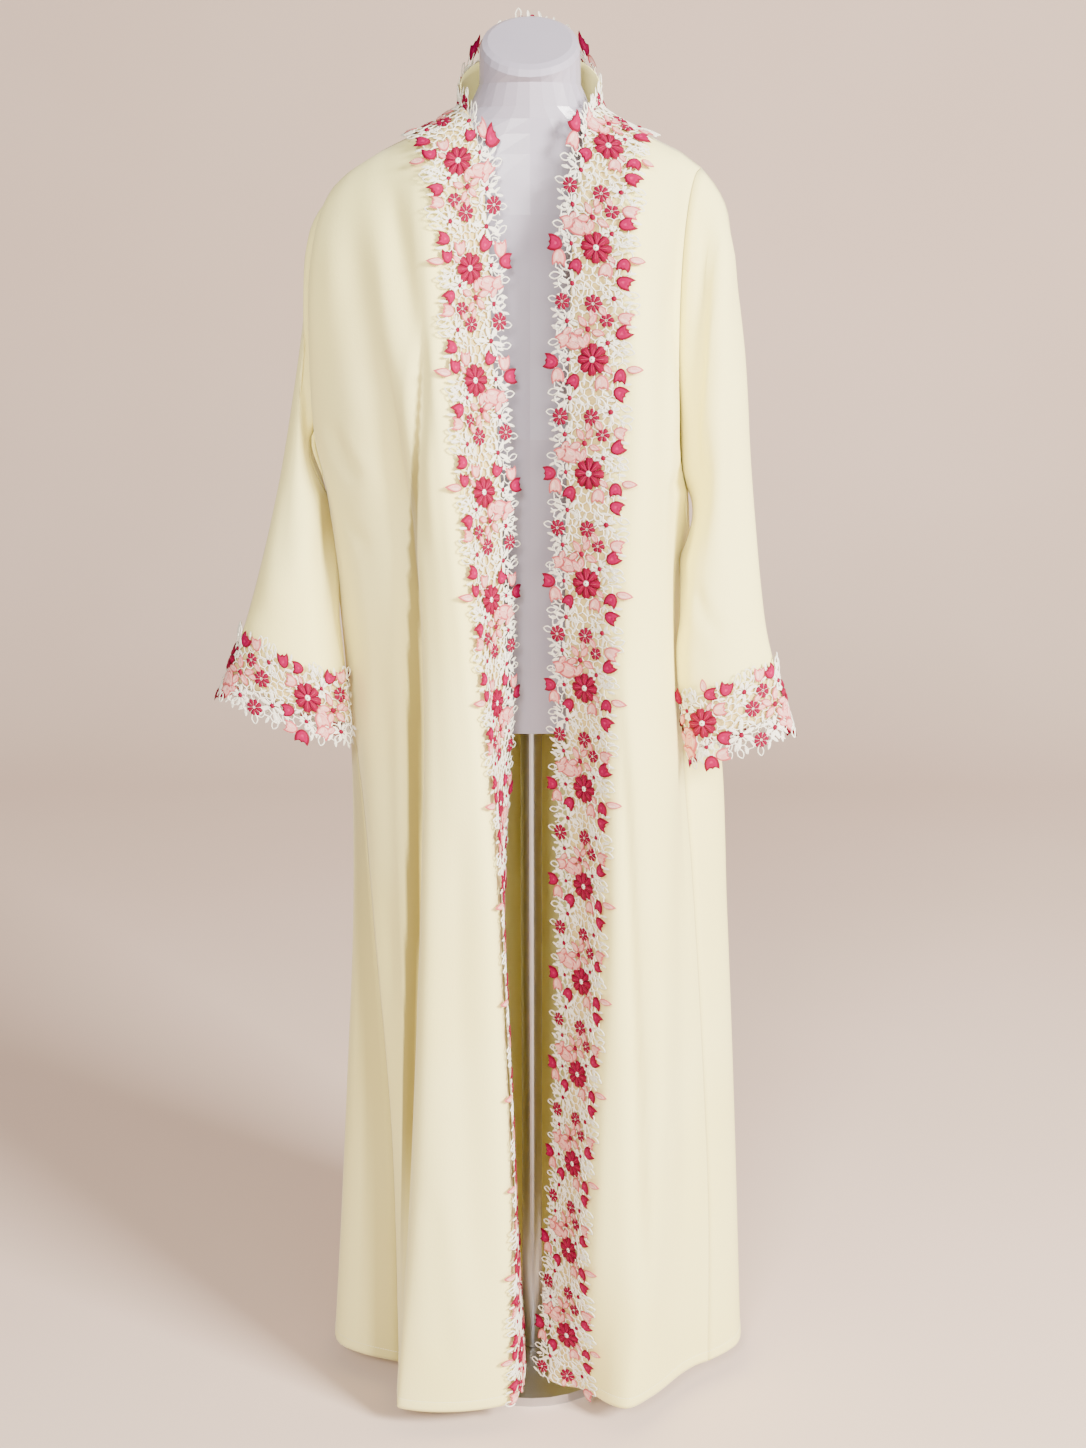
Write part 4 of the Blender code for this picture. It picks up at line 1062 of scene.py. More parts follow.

# %% [markdown]
# ## Lace: the chart of one repeat
#
# The pattern repeats every 114.5 mm. The chart gives the place of each motif in millimetres from the middle
# of the large flower: across the strip, where minus is the free edge, and along it. The turn says which way
# the motif points, in degrees from across towards along. White leaves and loops fill the space between and
# make the ragged edge. They were placed to leave gaps of 3 to 6 mm, as the real lace does.

# %% Chart
REPEAT = 114.5
CHART = (
    ("flower", 0, 0, 0, 1),
    ("ring", 0, 0, 0, 1),
    ("pip", 0, 0, 0, 1),
    ("tulip", -45.5, 2.7, 180, 1.05),
    ("blush", -39, 15.5, 90, 1.0),
    ("tulip", -21, 21, 120, 1.0),
    ("big_daisy", -24, 39, 20, 1.0),
    ("dot", -24, 39, 0, 0.95),
    ("wedge8", -35, 58, 0, 0.97),
    ("daisy", -29, 76, 10, 1.15),
    ("dot", -29, 76, 0, 0.95),
    ("wedge8", 0, 57, 0, 1.0),
    ("blush", 11, 22, 90, 0.95),
    ("tulip", 29, 15, 95, 0.95),
    ("bud", 41, 9.5, 8, 1.05),
    ("tulip", 30, 33.5, 20, 1.0),
    ("daisy", 20.5, 51.5, 30, 1.1),
    ("dot", 20.5, 51.5, 0, 1.0),
    ("wedge6", 13, 74, 0, 1.0),
    ("blush", 31.5, 72, 15, 0.95),
    ("tulip", 29.5, 87, -30, 1.0),
    ("daisy", 15, 98, 0, 1.05),
    ("dot", 15, 98, 0, 0.9),
    ("dot", -6, 84, 0, 1.1),
    ("petal", -11.5, 76.5, 233, 1.0),
    ("petal", -15.5, 87, 162, 1.0),
    ("petal", -7, 94.5, 97, 1.0),
    ("petal", 4, 88, 22, 1.0),
    ("petal", -1, 74.5, 305, 0.95),
    ("blush", -20.5, 97, 200, 1.15),
    ("blush", -33, 95, 160, 0.9),
    ("petal", -12, -17, 235, 1.1),
    ("petal", -20, -14, 200, 1.0),
    ("petal", 9, 65, 60, 0.9),
    ("petal", 16, 10, 40, 0.8),
    ("petal", -3, 67, 100, 0.8),
    ("petal", -29, 87, 130, 0.9),
    ("daisy", -27, 0, 12, 0.95),
    ("dot", -27, 0, 0, 0.85),
)
WHITE_LEAVES = (
    (-36, 30, 200), (-41, 41, 170), (-38, 50, 150), (-44, 66, 200), (-41, 72, 160), (-43, 82, 190),
    (-38, 88, 150), (-38, 104, 190), (-43, 108, 160), (-34, 112, 130), (-30, 22, 200), (-12, 30, 70),
    (-7, 38, 40), (2, 31, 80), (-4, 46, 100), (-14, 52, 120), (-20, 58, 60), (-22, 66, 100), (-14, 66, 20),
    (8, 40, 60), (14, 34, 30), (21, 25, 100), (20, 40, 10), (33, 45, 20), (36, 55, 0), (32, 62, 40),
    (9, 50, 130), (21, 63, 100), (25, 80, 60), (6, 97, 100), (25, 96, 20), (31, 99, 350), (33, 107, 20),
    (24, 106, 60), (5, 104, 30), (22, 4, 340), (27, -6, 20), (34, 0, 10), (20, -4, 300), (-19, 10, 130),
    (-20, -10, 200), (-36, -7, 190), (-10, 106, 90), (16, 14, 60), (-31, 48, 100), (0, 22, 110),
    (-9, 21, 90), (36, 24, 0), (37, 82, 10),
)
WHITE_LOOPS = (
    (-43, 33, 165), (-46, 55, 185), (-37, 67, 215), (-38, 80, 150), (-44, 98, 175), (-35, 106, 210),
    (-35, 22, 230), (37, 47, 15), (38, 60, 340), (34, 100, 20), (30, 108, 340), (36, -8, 15), (38, 66, 20),
    (-14, 44, 80), (11, 44, 60), (-22, 90, 300),
)
full_chart = list(CHART)
full_chart += [("leaf", across, along, turn, 1.05) for across, along, turn in WHITE_LEAVES]
full_chart += [("loop", across, along, turn, 1.0) for across, along, turn in WHITE_LOOPS]
print("motifs in one repeat:", len(full_chart))

# %% The placed motifs of a strip
END_CLEAR = 0.002
PLACE_SHAKE = 0.5
TURN_SHAKE = 5
SIZE_SHAKE = 0.04


def strip_motifs(length, phase, way, seed, widest):
    """Every motif of a strip: its kind, place across and along in metres, turn and size."""
    chance = np.random.default_rng(seed)
    placed = []
    first = math.floor(-phase / (REPEAT * MM)) - 1
    last = math.ceil((length - phase) / (REPEAT * MM)) + 1
    for repeat in range(first, last):
        for kind, across, along, turn, size in full_chart:
            shake = chance.normal(0, 1, 4)
            still = kind in ("flower", "ring", "pip", "dot")
            far = phase + (repeat * REPEAT + way * along) * MM
            side = across * MM
            if not still:
                far += PLACE_SHAKE * MM * shake[0]
                side += PLACE_SHAKE * MM * shake[1]
                turn += TURN_SHAKE * shake[2]
                size *= 1 + SIZE_SHAKE * shake[3]
            if END_CLEAR < far < length - END_CLEAR and side < widest:
                placed.append((kind, side, far, way * math.radians(turn), size))
    return placed

# %% [markdown]
# ## Lace: cords between the motifs
#
# Under and between the motifs runs a net of fine white cords. Its cells are uneven and five or six sided,
# like foam. A seeded scatter of places is joined into triangles, and the middles of neighbouring triangles
# give the net. Geometry nodes turn its lines into flattened cords, and place the motifs too.

# %% Cord lines
NET_SPACING = 9.6
NET_LEFT, NET_RIGHT = -41.0, 33.0
FLOWER_COVER = 12.5
NET_ROWS = 0.87
NET_SHAKE = 1.5
CORD_BEND = 0.35
EDGE_WAVES = ((3.0, 0.33, 0.0), (2.0, 0.21, 1.0))


def net_lines(length, phase, seed, highest):
    """Points and joined pairs of a foam-like net, in metres, left out under the large flowers."""
    chance = np.random.default_rng(seed)
    flowers = [phase / MM + repeat * REPEAT for repeat in range(-20, 20)]
    spots = []
    rows = int(length / MM / (NET_SPACING * NET_ROWS)) + 3
    columns = int((NET_RIGHT - NET_LEFT) / NET_SPACING) + 3
    for row in range(-1, rows):
        for column in range(-1, columns):
            across = NET_LEFT + (column + 0.5 * (row % 2)) * NET_SPACING
            along = row * NET_SPACING * NET_ROWS
            spots.append(Vector((across + NET_SHAKE * chance.normal(), along + NET_SHAKE * chance.normal())))
    verts, _, triangles, _, _, _ = delaunay_2d_cdt(spots, [], [], 0, 1e-6)
    middles = np.array([np.mean([verts[k][:] for k in face], axis=0) for face in triangles])
    owners = {}
    for place, face in enumerate(triangles):
        for a, b in zip(face, face[1:] + face[:1]):
            owners.setdefault((min(a, b), max(a, b)), []).append(place)
    points, pairs = list(middles * MM), []
    for pair in owners.values():
        if len(pair) < 2:
            continue
        ends = middles[list(pair)]
        middle = ends.mean(axis=0)
        edge_wave = sum(height * math.sin(middle[1] * rate + start) for height, rate, start in EDGE_WAVES)
        if not NET_LEFT + edge_wave < middle[0] < NET_RIGHT - edge_wave:
            continue
        if not 1 < middle[1] < length / MM - 1 or middle[0] * MM > highest:
            continue
        if min(math.hypot(middle[0], middle[1] - flower) for flower in flowers) < FLOWER_COVER:
            continue
        bend = middle + chance.normal(0, CORD_BEND, 2)
        points.append(bend * MM)
        pairs.append((pair[0], len(points) - 1, pair[1]))
    return np.array(points), pairs

# %% Geometry nodes for cords and motifs
def node_tree(name, inputs):
    tree = bpy.data.node_groups.new(name, "GeometryNodeTree")
    tree.interface.new_socket("Geometry", in_out="INPUT", socket_type="NodeSocketGeometry")
    for label, kind in inputs:
        tree.interface.new_socket(label, in_out="INPUT", socket_type=kind)
    tree.interface.new_socket("Geometry", in_out="OUTPUT", socket_type="NodeSocketGeometry")
    return tree, tree.nodes.new("NodeGroupInput"), tree.nodes.new("NodeGroupOutput")


def finish_tree(tree, start, end, geometry):
    """Every tree ends by making its instances real and giving them their finish."""
    real = add_node(tree, "GeometryNodeRealizeInstances", Geometry=geometry).outputs["Geometry"]
    finish = add_node(tree, "GeometryNodeSetMaterial", Geometry=real, Material=start.outputs["Finish"])
    tree.links.new(finish.outputs["Geometry"], end.inputs["Geometry"])
    return tree


def scatter_tree():
    """Places one motif on every point, turned and sized by the points' own values."""
    inputs = (("Motif", "NodeSocketObject"), ("Finish", "NodeSocketMaterial"))
    tree, start, end = node_tree("place_motifs", inputs)
    motif = add_node(tree, "GeometryNodeObjectInfo", Object=start.outputs["Motif"])
    places = add_node(tree, "GeometryNodeMeshToPoints", Mesh=start.outputs["Geometry"])
    turn, size = (add_node(tree, "GeometryNodeInputNamedAttribute", Name=label) for label in ("turn", "size"))
    turning = add_node(tree, "ShaderNodeCombineXYZ", Z=turn.outputs["Attribute"])
    placing = add_node(
        tree,
        "GeometryNodeInstanceOnPoints",
        Points=places.outputs["Points"],
        Instance=motif.outputs["Geometry"],
        Rotation=turning.outputs["Vector"],
        Scale=size.outputs["Attribute"],
    )
    return finish_tree(tree, start, end, placing.outputs["Instances"])


def cord_tree():
    """Turns lines into cords with a flat underside."""
    inputs = (("Thickness", "NodeSocketFloat"), ("Finish", "NodeSocketMaterial"))
    tree, start, end = node_tree("draw_cords", inputs)
    lines = add_node(tree, "GeometryNodeMeshToCurve", Mesh=start.outputs["Geometry"])
    radius = start.outputs["Thickness"]
    circle = add_node(tree, "GeometryNodeCurvePrimitiveCircle", Resolution=4, Radius=radius)
    line, section = lines.outputs["Curve"], circle.outputs["Curve"]
    sweep = add_node(tree, "GeometryNodeCurveToMesh", Curve=line, Profile_Curve=section)
    return finish_tree(tree, start, end, sweep.outputs["Mesh"])


PLACE_MOTIFS = scatter_tree()
DRAW_CORDS = cord_tree()
CORD_RADIUS = 0.00062
CORD_RISE = 0.55


def run_nodes(mesh, tree, **values):
    """The arrays of what a node tree makes from a mesh: points, faces as lists of corners, and UV."""
    carrier = bpy.data.objects.new("carrier", mesh)
    bpy.context.scene.collection.objects.link(carrier)
    modifier = carrier.modifiers.new("nodes", "NODES")
    modifier.node_group = tree
    for item in tree.interface.items_tree:
        if item.item_type == "SOCKET" and item.in_out == "INPUT" and item.name in values:
            modifier[item.identifier] = values[item.name]
    carrier.update_tag()
    shown = carrier.evaluated_get(bpy.context.evaluated_depsgraph_get())
    made = bpy.data.meshes.new_from_object(shown)
    points = np.empty(len(made.vertices) * 3, np.float32)
    made.vertices.foreach_get("co", points)
    faces = [tuple(face.vertices) for face in made.polygons]
    uv = np.zeros((len(made.loops), 2), np.float32)
    if made.uv_layers:
        made.uv_layers[0].data.foreach_get("uv", uv.ravel())
    elif "UVMap" in made.attributes:
        made.attributes["UVMap"].data.foreach_get("vector", uv.ravel())
    bpy.data.objects.remove(carrier)
    bpy.data.meshes.remove(made)
    return points.reshape(-1, 3).astype(float), faces, uv


def flat_motifs(kind, placed):
    """One kind of motif at all its places, as flat arrays."""
    mesh = bpy.data.meshes.new("places")
    mesh.from_pydata([(across, along, 0.0) for _, across, along, _, _ in placed], [], [])
    for label, column in (("turn", 3), ("size", 4)):
        layer = mesh.attributes.new(label, "FLOAT", "POINT")
        layer.data.foreach_set("value", [row[column] for row in placed])
    return run_nodes(mesh, PLACE_MOTIFS, Motif=MOTIFS[kind], Finish=MOTIFS[kind].data.materials[0])


def flat_cords(points, runs):
    mesh = bpy.data.meshes.new("lines")
    edges = [(a, b) for run in runs for a, b in zip(run[:-1], run[1:])]
    flat = [(x, y, CORD_RISE * CORD_RADIUS) for x, y in points]
    mesh.from_pydata(flat, edges, [])
    return run_nodes(mesh, DRAW_CORDS, Thickness=CORD_RADIUS, Finish=WHITE_THREAD)

# %% [markdown]
# ## Lace: laying it on the cloth
#
# The lace is sewn down along the front edge. The middles of the large flowers lie 27 mm in from it, and the
# ragged side reaches past it. Over the collar it climbs away from the cloth and stands against the neck.
# A table of places and outward directions, every 2.5 mm along and across, holds that path for each strip,
# and every point of the flat lace is read off the table with its own height on top.

# %% Tables of the way the lace lies
TABLE_STEP = 0.0025
ACROSS_FROM, ACROSS_TO = -0.062, 0.062
EDGE_CURL = 0.0030
CURL_FROM, CURL_WIDTH = 0.014, 0.022
LACE_LIFT = 0.0022
EDGE_TO_FLOWER = 0.027
CUFF_EDGE_TO_FLOWER = 0.018
STANDS_FROM = 1.425
NECK_HEIGHT = 1.499
STAND_LEAN = 0.05
NECK_SIDE = 0.072
NECK_BACK = 0.062
COLLAR_CLIMB = 0.077
COLLAR_CLIMB_POWER = 1.3
COLLAR_TURN = 0.02
SHOULDER_SLOPE_SHARE = 0.9
CLOTH_WALL = 0.0018
COLLAR_TURNS = 60
BACK_STARTS = 0.0004
RAY_HEIGHT = 2.0
across_stops = np.arange(ACROSS_FROM, ACROSS_TO + TABLE_STEP / 2, TABLE_STEP)


def walk_row(line, square, distance, lift):
    """A place some way along a row of the cloth, or before its edge, where the lace runs on straight."""
    if distance <= 0:
        ahead = (line[0] - line[1]) / np.linalg.norm(line[0] - line[1])
        upright = np.array((-STAND_LEAN * math.copysign(1, line[0][0]), 0.0, 1.0))
        ahead = ahead * (1 - lift) + upright * lift
        ahead /= np.linalg.norm(ahead)
        normal = np.cross(ahead, np.cross(square[0], line[0] - line[1]))
        return line[0] - ahead * distance, normal / np.linalg.norm(normal)
    lengths = run_lengths(line)
    cell = int(np.clip(np.searchsorted(lengths, distance) - 1, 0, len(line) - 2))
    share = (distance - lengths[cell]) / (lengths[cell + 1] - lengths[cell])
    normal = square[cell] + (square[cell + 1] - square[cell]) * share
    return line[cell] + (line[cell + 1] - line[cell]) * share, normal / np.linalg.norm(normal)


def fill_table(length, row_at):
    """Stops along a length, and the places and directions of the row at each stop."""
    stops = np.linspace(0, length, int(length / TABLE_STEP) + 1)
    rows = [row_at(along) for along in stops]
    places = np.array([[place for place, _ in row] for row in rows])
    directions = np.array([[direction for _, direction in row] for row in rows])
    return stops, places, directions


def edge_table(grid, outward, edge_to_flower):
    """Places and directions along the first column of a grid, from its last row to its first."""
    rows, squares = grid[::-1], outward[::-1]
    lengths = run_lengths(rows[:, 0])

    def row_at(along):
        cell = int(np.clip(np.searchsorted(lengths, along) - 1, 0, len(rows) - 2))
        share = (along - lengths[cell]) / (lengths[cell + 1] - lengths[cell])
        line = rows[cell] + (rows[cell + 1] - rows[cell]) * share
        square = squares[cell] + (squares[cell + 1] - squares[cell]) * share
        lift = smooth_rise((line[0][2] - STANDS_FROM) / (NECK_HEIGHT - STANDS_FROM))
        return [walk_row(line, square, across + edge_to_flower, lift) for across in across_stops]

    return fill_table(lengths[-1], row_at)


back_tree = BVHTree.FromPolygons(
    surface["back"].reshape(-1, 3).tolist(), grid_faces(*surface["back"].shape[:2], True)
)


def collar_place(turn, across):
    """A place of the lace round the back of the neck: standing up, or lying on the shoulder below."""
    point = np.array((NECK_SIDE * math.cos(turn), NECK_BACK * math.sin(turn), NECK_HEIGHT))
    out = np.array((math.cos(turn) / NECK_SIDE, math.sin(turn) / NECK_BACK, 0.0))
    out /= np.linalg.norm(out)
    distance = across + EDGE_TO_FLOWER - COLLAR_CLIMB * max(0.0, math.sin(turn)) ** COLLAR_CLIMB_POWER
    if distance <= 0:
        rise = CLOTH_WALL - distance
        return point + out * (CLOTH_WALL - STAND_LEAN * rise) + np.array((0, 0, rise)), out
    place = point + out * (CLOTH_WALL + distance * SHOULDER_SLOPE_SHARE)
    place[1] = max(place[1], BACK_STARTS)
    hit, square, _, _ = back_tree.ray_cast(Vector((*place[:2], RAY_HEIGHT)), Vector((0, 0, -1)))
    if hit is None:
        hit, square, _, _ = back_tree.find_nearest(Vector(place))
    square = np.array(square) * (1 if square[2] > 0 else -1)
    normal = square + out * max(0.0, 1 - distance / COLLAR_TURN)
    return np.array(hit), normal / np.linalg.norm(normal)


def collar_table(start):
    """Places and directions from one side of the neck round to the middle of the back."""
    turns = np.linspace(start, math.pi / 2, COLLAR_TURNS)
    line = np.array([(NECK_SIDE * math.cos(turn), NECK_BACK * math.sin(turn)) for turn in turns])
    lengths = run_lengths(line)

    def row_at(along):
        return [collar_place(float(np.interp(along, lengths, turns)), across) for across in across_stops]

    return fill_table(lengths[-1], row_at)


def joined_tables(first, second):
    """Two tables end to end. The second one's first row is left out, as it is the first one's last."""
    return (
        np.concatenate([first[0], first[0][-1] + second[0][1:]]),
        np.concatenate([first[1], second[1][1:]]),
        np.concatenate([first[2], second[2][1:]]),
    )


def lay_on(table, flat):
    """Flat lace points (across, along, height) as places in space, past the ends of the table too."""
    stops, places, directions = table
    spot = np.interp(flat[:, 1], stops, np.arange(len(stops)))
    beyond = flat[:, 1] - np.clip(flat[:, 1], stops[0], stops[-1])
    row = np.minimum(spot.astype(int), len(stops) - 2)
    column_spot = np.clip((flat[:, 0] - ACROSS_FROM) / TABLE_STEP, 0, len(across_stops) - 1.001)
    column = column_spot.astype(int)
    down, side = (spot - row)[:, None], (column_spot - column)[:, None]

    def read(values):
        near = values[row, column] * (1 - side) + values[row, column + 1] * side
        far = values[row + 1, column] * (1 - side) + values[row + 1, column + 1] * side
        return near * (1 - down) + far * down, (far - near) / (stops[1] - stops[0])

    place, onward = read(places)
    direction, _ = read(directions)
    direction /= np.linalg.norm(direction, axis=1, keepdims=True)
    curl = EDGE_CURL * smooth_rise((flat[:, :1] - CURL_FROM) / CURL_WIDTH)
    return place + onward * beyond[:, None] + direction * (flat[:, 2:] + LACE_LIFT + curl)

# %% Sewing the strips
def lace_piece(name, node, placed, net, table, flip):
    """One piece of lace from its motifs and its cords, laid on its table."""
    points, faces, uv, slots = [], [], [], []
    total = 0
    batches = []
    for kind in MOTIFS:
        chosen = [row for row in placed if row[0] == kind]
        if chosen:
            batches.append((flat_motifs(kind, chosen), LACE_MATERIALS.index(MOTIFS[kind].data.materials[0])))
    batches.append((flat_cords(*net), 0))
    for (part_points, part_faces, part_uv), slot in batches:
        points.append(part_points)
        faces += [tuple(total + corner for corner in face) for face in part_faces]
        uv.append(part_uv)
        slots += [slot] * len(part_faces)
        total += len(part_points)
    laid = lay_on(table, np.concatenate(points))
    uv = np.concatenate(uv)
    piece = add_piece(name, laid, faces, LACE_MATERIALS, uv, slots)
    if flip:
        piece.data.flip_normals()
    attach(piece, "root")
    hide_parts(node)
    return piece


def split_net(net, low, high):
    """The cords whose middles lie between two places along the strip."""
    points, runs = net
    return points, [run for run in runs if low <= points[run[1]][1] < high]


# Each strip: the wearer's side, where its first flower lies, the way along, and where its collar starts.
STRIPS = (("right", 0.052, 1, math.pi), ("left", 0.074, -1, 0.0))
CUFFS = (("right", 0.058), ("left", 0.030))
LACE_SIDE = 0.060
CUFF_TOP = 0.040
STRIP_SEED, CUFF_SEED, NET_SEED = 40, 60, 10
lace_pieces = {}


def sew_strip(nodes, tables, phase, way, seed, widest, flip):
    """The two pieces of one strip, which meet where the first table ends."""
    table, middle = joined_tables(*tables), tables[0][0][-1]
    length = table[0][-1]
    placed = strip_motifs(length, phase, way, seed, widest)
    net = net_lines(length, phase, NET_SEED + seed, widest)
    for node, low, high in zip(nodes, (0.0, middle), (middle, length)):
        chosen = [row for row in placed if low <= row[2] < high]
        piece = lace_piece("guipure_" + node, node, chosen, split_net(net, low, high), table, flip)
        lace_pieces[node] = piece
        print(node, "has", len(chosen), "motifs and", count_triangles(piece), "triangles")


for seed, (word, phase, way, turn) in enumerate(STRIPS):
    grid = surface[f"front_{word}"]
    outward = grid_normals(grid, CLOTH_SIDES[f"front_{word}"])
    tables = (edge_table(grid, outward, EDGE_TO_FLOWER), collar_table(turn))
    nodes = (f"lace_front_{word}", f"lace_collar_{word}")
    sew_strip(nodes, tables, phase, way, STRIP_SEED + seed, LACE_SIDE, way > 0)

for seed, (word, phase) in enumerate(CUFFS):
    tables = []
    for half in ("front", "back"):
        grid = surface[f"sleeve_{word}_{half}"]
        outward = grid_normals(grid, CLOTH_SIDES[f"sleeve_{word}_{half}"])
        turned, turned_out = grid[::-1].transpose(1, 0, 2), outward[::-1].transpose(1, 0, 2)
        if half == "back":
            turned, turned_out = turned[::-1], turned_out[::-1]
        tables.append(edge_table(turned, turned_out, CUFF_EDGE_TO_FLOWER))
    nodes = (f"lace_cuff_{word}_front", f"lace_cuff_{word}_back")
    sew_strip(nodes, tables, phase, 1, CUFF_SEED + seed, CUFF_TOP, word == "right")

# %% [markdown]
# ## Hem stitches
#
# The hem is turned in twice and held by one row of machine stitches 13 mm up. Each stitch is a short bead
# of thread that dips into the cloth at both ends. Geometry nodes lay one every 3.4 mm along the hem's line.

# %% Stitches
STITCH_LENGTH = 0.0026
STITCH_GAP = 0.0034
STITCH_RADIUS = 0.00028
STITCH_SHAPE = ((-0.5, 0.25), (-0.3, 0.9), (0.0, 1.0), (0.3, 0.9), (0.5, 0.25))
STITCH_SIDES = 6
STITCH_LIFT, STITCH_PROUD = 0.6, 0.4


def stitch_motif():
    points, faces = [], []
    for share, wide in STITCH_SHAPE:
        for turn in np.arange(STITCH_SIDES) * 2 * math.pi / STITCH_SIDES:
            lift = STITCH_RADIUS * (wide * math.sin(turn) + STITCH_LIFT * wide)
            points.append((STITCH_LENGTH * share, STITCH_RADIUS * wide * math.cos(turn), lift))
    for ring in range(len(STITCH_SHAPE) - 1):
        for side in range(STITCH_SIDES):
            a, b = STITCH_SIDES * ring + side, STITCH_SIDES * ring + (side + 1) % STITCH_SIDES
            faces.append((a, b, b + STITCH_SIDES, a + STITCH_SIDES))
    mesh = bpy.data.meshes.new("stitch")
    mesh.from_pydata(points, [], faces)
    return bpy.data.objects.new("stitch", mesh)


def stitch_tree():
    """Spaces stitches along a line and turns each to follow it."""
    inputs = (
        ("Stitch", "NodeSocketObject"),
        ("Spacing", "NodeSocketFloat"),
        ("Finish", "NodeSocketMaterial"),
    )
    tree, start, end = node_tree("sew_stitches", inputs)
    line = add_node(tree, "GeometryNodeMeshToCurve", Mesh=start.outputs["Geometry"])
    spaced = tree.nodes.new("GeometryNodeResampleCurve")
    spaced.mode = "LENGTH"
    tree.links.new(line.outputs["Curve"], spaced.inputs["Curve"])
    tree.links.new(start.outputs["Spacing"], spaced.inputs["Length"])
    stitch = add_node(tree, "GeometryNodeObjectInfo", Object=start.outputs["Stitch"])
    tangent = tree.nodes.new("GeometryNodeInputTangent")
    turned = add_node(tree, "FunctionNodeAlignEulerToVector", Vector=tangent.outputs["Tangent"])
    placing = add_node(
        tree,
        "GeometryNodeInstanceOnPoints",
        Points=spaced.outputs["Curve"],
        Instance=stitch.outputs["Geometry"],
        Rotation=turned.outputs["Rotation"],
    )
    return finish_tree(tree, start, end, placing.outputs["Instances"])


def row_at_hem(grid, outward, distance):
    """The line on a panel that runs at one distance above its hem."""
    far = hem_distance(grid)
    line = []
    for column in range(grid.shape[1]):
        heights = -far[:, column]
        spot = float(np.interp(-distance, heights, np.arange(len(grid))))
        low = min(int(spot), len(grid) - 2)
        place = grid[low, column] * (1 - spot + low) + grid[low + 1, column] * (spot - low)
        line.append(place + outward[low, column] * STITCH_RADIUS * STITCH_PROUD)
    return np.array(line)


SEW_STITCHES = stitch_tree()
STITCH = stitch_motif()
stitch_pieces = {}
for name in PANELS:
    line = row_at_hem(surface[name], grid_normals(surface[name], CLOTH_SIDES[name]), HEM_DEPTH)
    mesh = bpy.data.meshes.new("hem_line")
    mesh.from_pydata(line.tolist(), [(k, k + 1) for k in range(len(line) - 1)], [])
    points, faces, uv = run_nodes(mesh, SEW_STITCHES, Stitch=STITCH, Spacing=STITCH_GAP, Finish=WHITE_THREAD)
    piece = add_piece("hem_stitches_" + name, points, faces, [WHITE_THREAD], uv)
    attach(piece, "root")
    stitch_pieces[name] = piece
    print(name, "has", len(points) // (len(STITCH_SHAPE) * STITCH_SIDES), "hem stitches")

# %% [markdown]
# ## Dress form and stand
#
# The form is moulded plastic with a hard satin gloss, and its stand is brushed steel. Both keep their
# imported shape, which the cloth rests on, and take finishes only.

# %% Form and stand finishes
# The plastic is near white; its colour is set much darker, as painted shade over the whole form.
FORM_WHITE_IN_SHADE = (0.37, 0.34, 0.41)
FORM_SHADED = (0.34, 0.31, 0.38)
STEEL = (0.55, 0.55, 0.57)
BRUSH_STRETCH = (400.0, 400.0, 6.0)


def form_material():
    material, tree, shader = new_material("form_finish", FORM_WHITE_IN_SHADE, 0.30)
    shader.inputs["Coat Weight"].default_value = 0.12
    shader.inputs["Coat Roughness"].default_value = 0.12
    noise, _ = cloudy_colour(tree, shader, 9.0, 3.0, (0.35, 0.70), FORM_WHITE_IN_SHADE, FORM_SHADED)
    add_bump(tree, shader, noise, 0.08, 0.001)
    return material


def steel_material():
    material, tree, shader = new_material("stand_finish", STEEL, 0.32, metallic=1.0)
    where = tree.nodes.new("ShaderNodeTexCoord").outputs["Object"]
    brushed = add_node(tree, "ShaderNodeMapping", Vector=where, Scale=BRUSH_STRETCH)
    noise = add_node(tree, "ShaderNodeTexNoise", Scale=1.0, Vector=brushed.outputs["Vector"]).outputs["Fac"]
    rough = add_node(tree, "ShaderNodeMapRange", To_Min=0.22, To_Max=0.42, Value=noise)
    tree.links.new(rough.outputs["Result"], shader.inputs["Roughness"])
    add_bump(tree, shader, noise, 0.1, 0.0002)
    return material


FINISHES = {"form_body": form_material(), "form_pole": steel_material()}
FINISHES["form_base"] = FINISHES["form_pole"]
for node, finish in FINISHES.items():
    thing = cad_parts[node]
    for slot in thing.material_slots:
        slot.material = finish
    print(node, "now has", finish.name)

# %% [markdown]
# ## What is sewn on each sheet
#
# For every sheet of cloth, the lace and the hem stitches sewn onto it are gathered in a list.


LACE_ON = {
    "front_right": ("lace_front_right",),
    "front_left": ("lace_front_left",),
    "collar_stand": ("lace_collar_right", "lace_collar_left"),
}
for name, piece in cloth_pieces.items():
    sewn_on = [lace_pieces[node] for node in LACE_ON.get(name, ())]
    if name.startswith("sleeve"):
        sewn_on = [lace_pieces[name.replace("sleeve", "lace_cuff")]]
    if name in stitch_pieces:
        sewn_on.append(stitch_pieces[name])

# %% [markdown]
# ## Floor and light
#
# The picture was taken against a plain warm grey sweep of paper. A strong soft lamp stands high on the
# right and a weaker one high on the left, and each throws its own faint shadow. A wide low one in front
# fills the shade.

# %% Floor
SWEEP_COLOUR = (0.73, 0.570, 0.47)
SWEEP_SHADED = (0.71, 0.55, 0.45)
SWEEP_HALF = 9.0
SWEEP_BEND_AT = 2.4
SWEEP_BEND = 1.2
SWEEP_TOP = 8.0
SWEEP_TURNS = 12


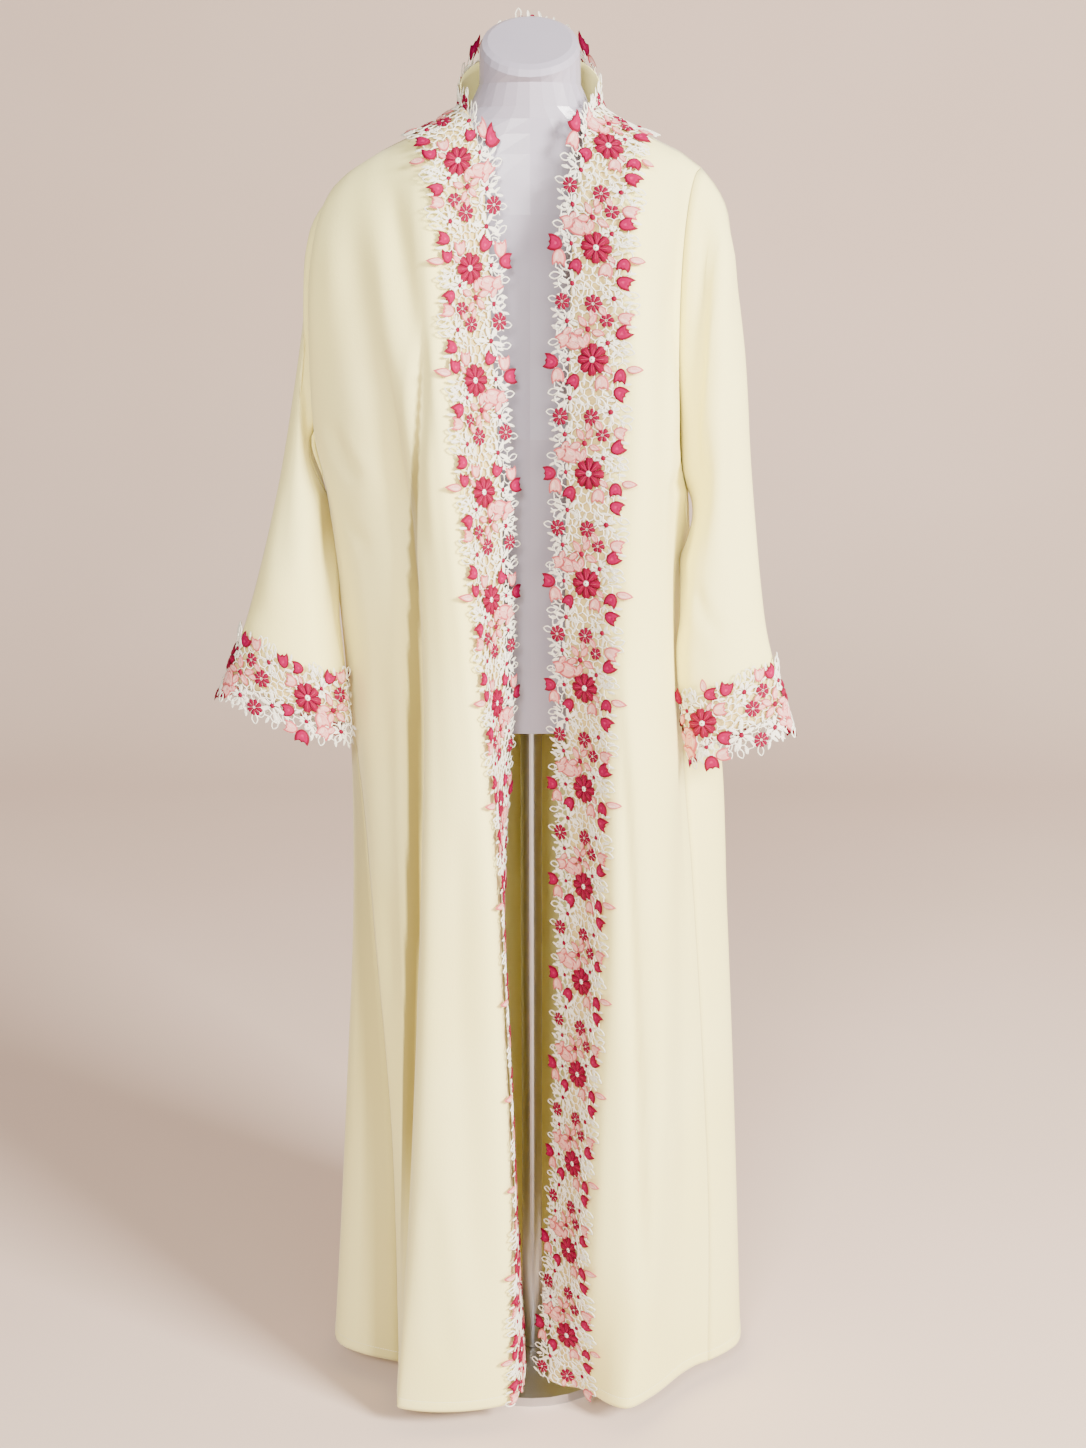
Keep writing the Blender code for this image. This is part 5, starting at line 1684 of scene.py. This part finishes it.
def sweep_sheet():
    """Floor and wall in one sheet with a round turn between them."""
    profile = [(-SWEEP_HALF, 0.0), (SWEEP_BEND_AT, 0.0)]
    for turn in np.linspace(0, math.pi / 2, SWEEP_TURNS)[1:]:
        profile.append((SWEEP_BEND_AT + SWEEP_BEND * math.sin(turn), SWEEP_BEND * (1 - math.cos(turn))))
    profile.append((SWEEP_BEND_AT + SWEEP_BEND, SWEEP_TOP))
    points = [(x, y, z) for y, z in profile for x in (-SWEEP_HALF, SWEEP_HALF)]
    faces = [(2 * k, 2 * k + 1, 2 * k + 3, 2 * k + 2) for k in range(len(profile) - 1)]
    material, tree, shader = new_material("sweep_paper", SWEEP_COLOUR, 0.9)
    cloudy_colour(tree, shader, 1.4, 2.0, (0.3, 0.7), SWEEP_COLOUR, SWEEP_SHADED)
    return add_piece("sweep", points, faces, [material])


sweep = sweep_sheet()
print("floor and wall:", sweep.name)

# %% Lights
def area_light(name, place, aim, size, watts, colour):
    data = bpy.data.lights.new(name, "AREA")
    data.shape = "RECTANGLE"
    data.size, data.size_y = size
    data.energy = watts
    data.color = colour
    light = bpy.data.objects.new(name, data)
    light.location = place
    light.rotation_euler = (Vector(aim) - Vector(place)).to_track_quat("-Z", "Y").to_euler()
    bpy.context.scene.collection.objects.link(light)


LAMPS = (
    ("lamp_left", (-0.8, -3.6, 3.0), (0, 0, 0.9), (1.1, 1.1), 190, (1.0, 0.955, 0.90)),
    ("lamp_right", (2.8, -2.4, 2.6), (0, 0, 0.9), (1.1, 1.1), 600, (1.0, 0.955, 0.90)),
    ("lamp_front", (1.4, -4.4, 0.9), (0, 0, 0.5), (2.4, 1.6), 90, (1.0, 0.96, 0.92)),
)
for lamp in LAMPS:
    area_light(*lamp)
    print(lamp[0], "gives", lamp[4], "W")

WORLD_COLOUR = (1.0, 0.94, 0.90, 1.0)
WORLD_STRENGTH = 0.30
world = bpy.data.worlds.new("studio")
bpy.context.scene.world = world
world.use_nodes = True
world.node_tree.nodes["Background"].inputs["Color"].default_value = WORLD_COLOUR
world.node_tree.nodes["Background"].inputs["Strength"].default_value = WORLD_STRENGTH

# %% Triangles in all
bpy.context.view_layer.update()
pieces = [*cloth_pieces.values(), *lace_pieces.values()]
print("triangles in all:", sum(count_triangles(piece) for piece in pieces))
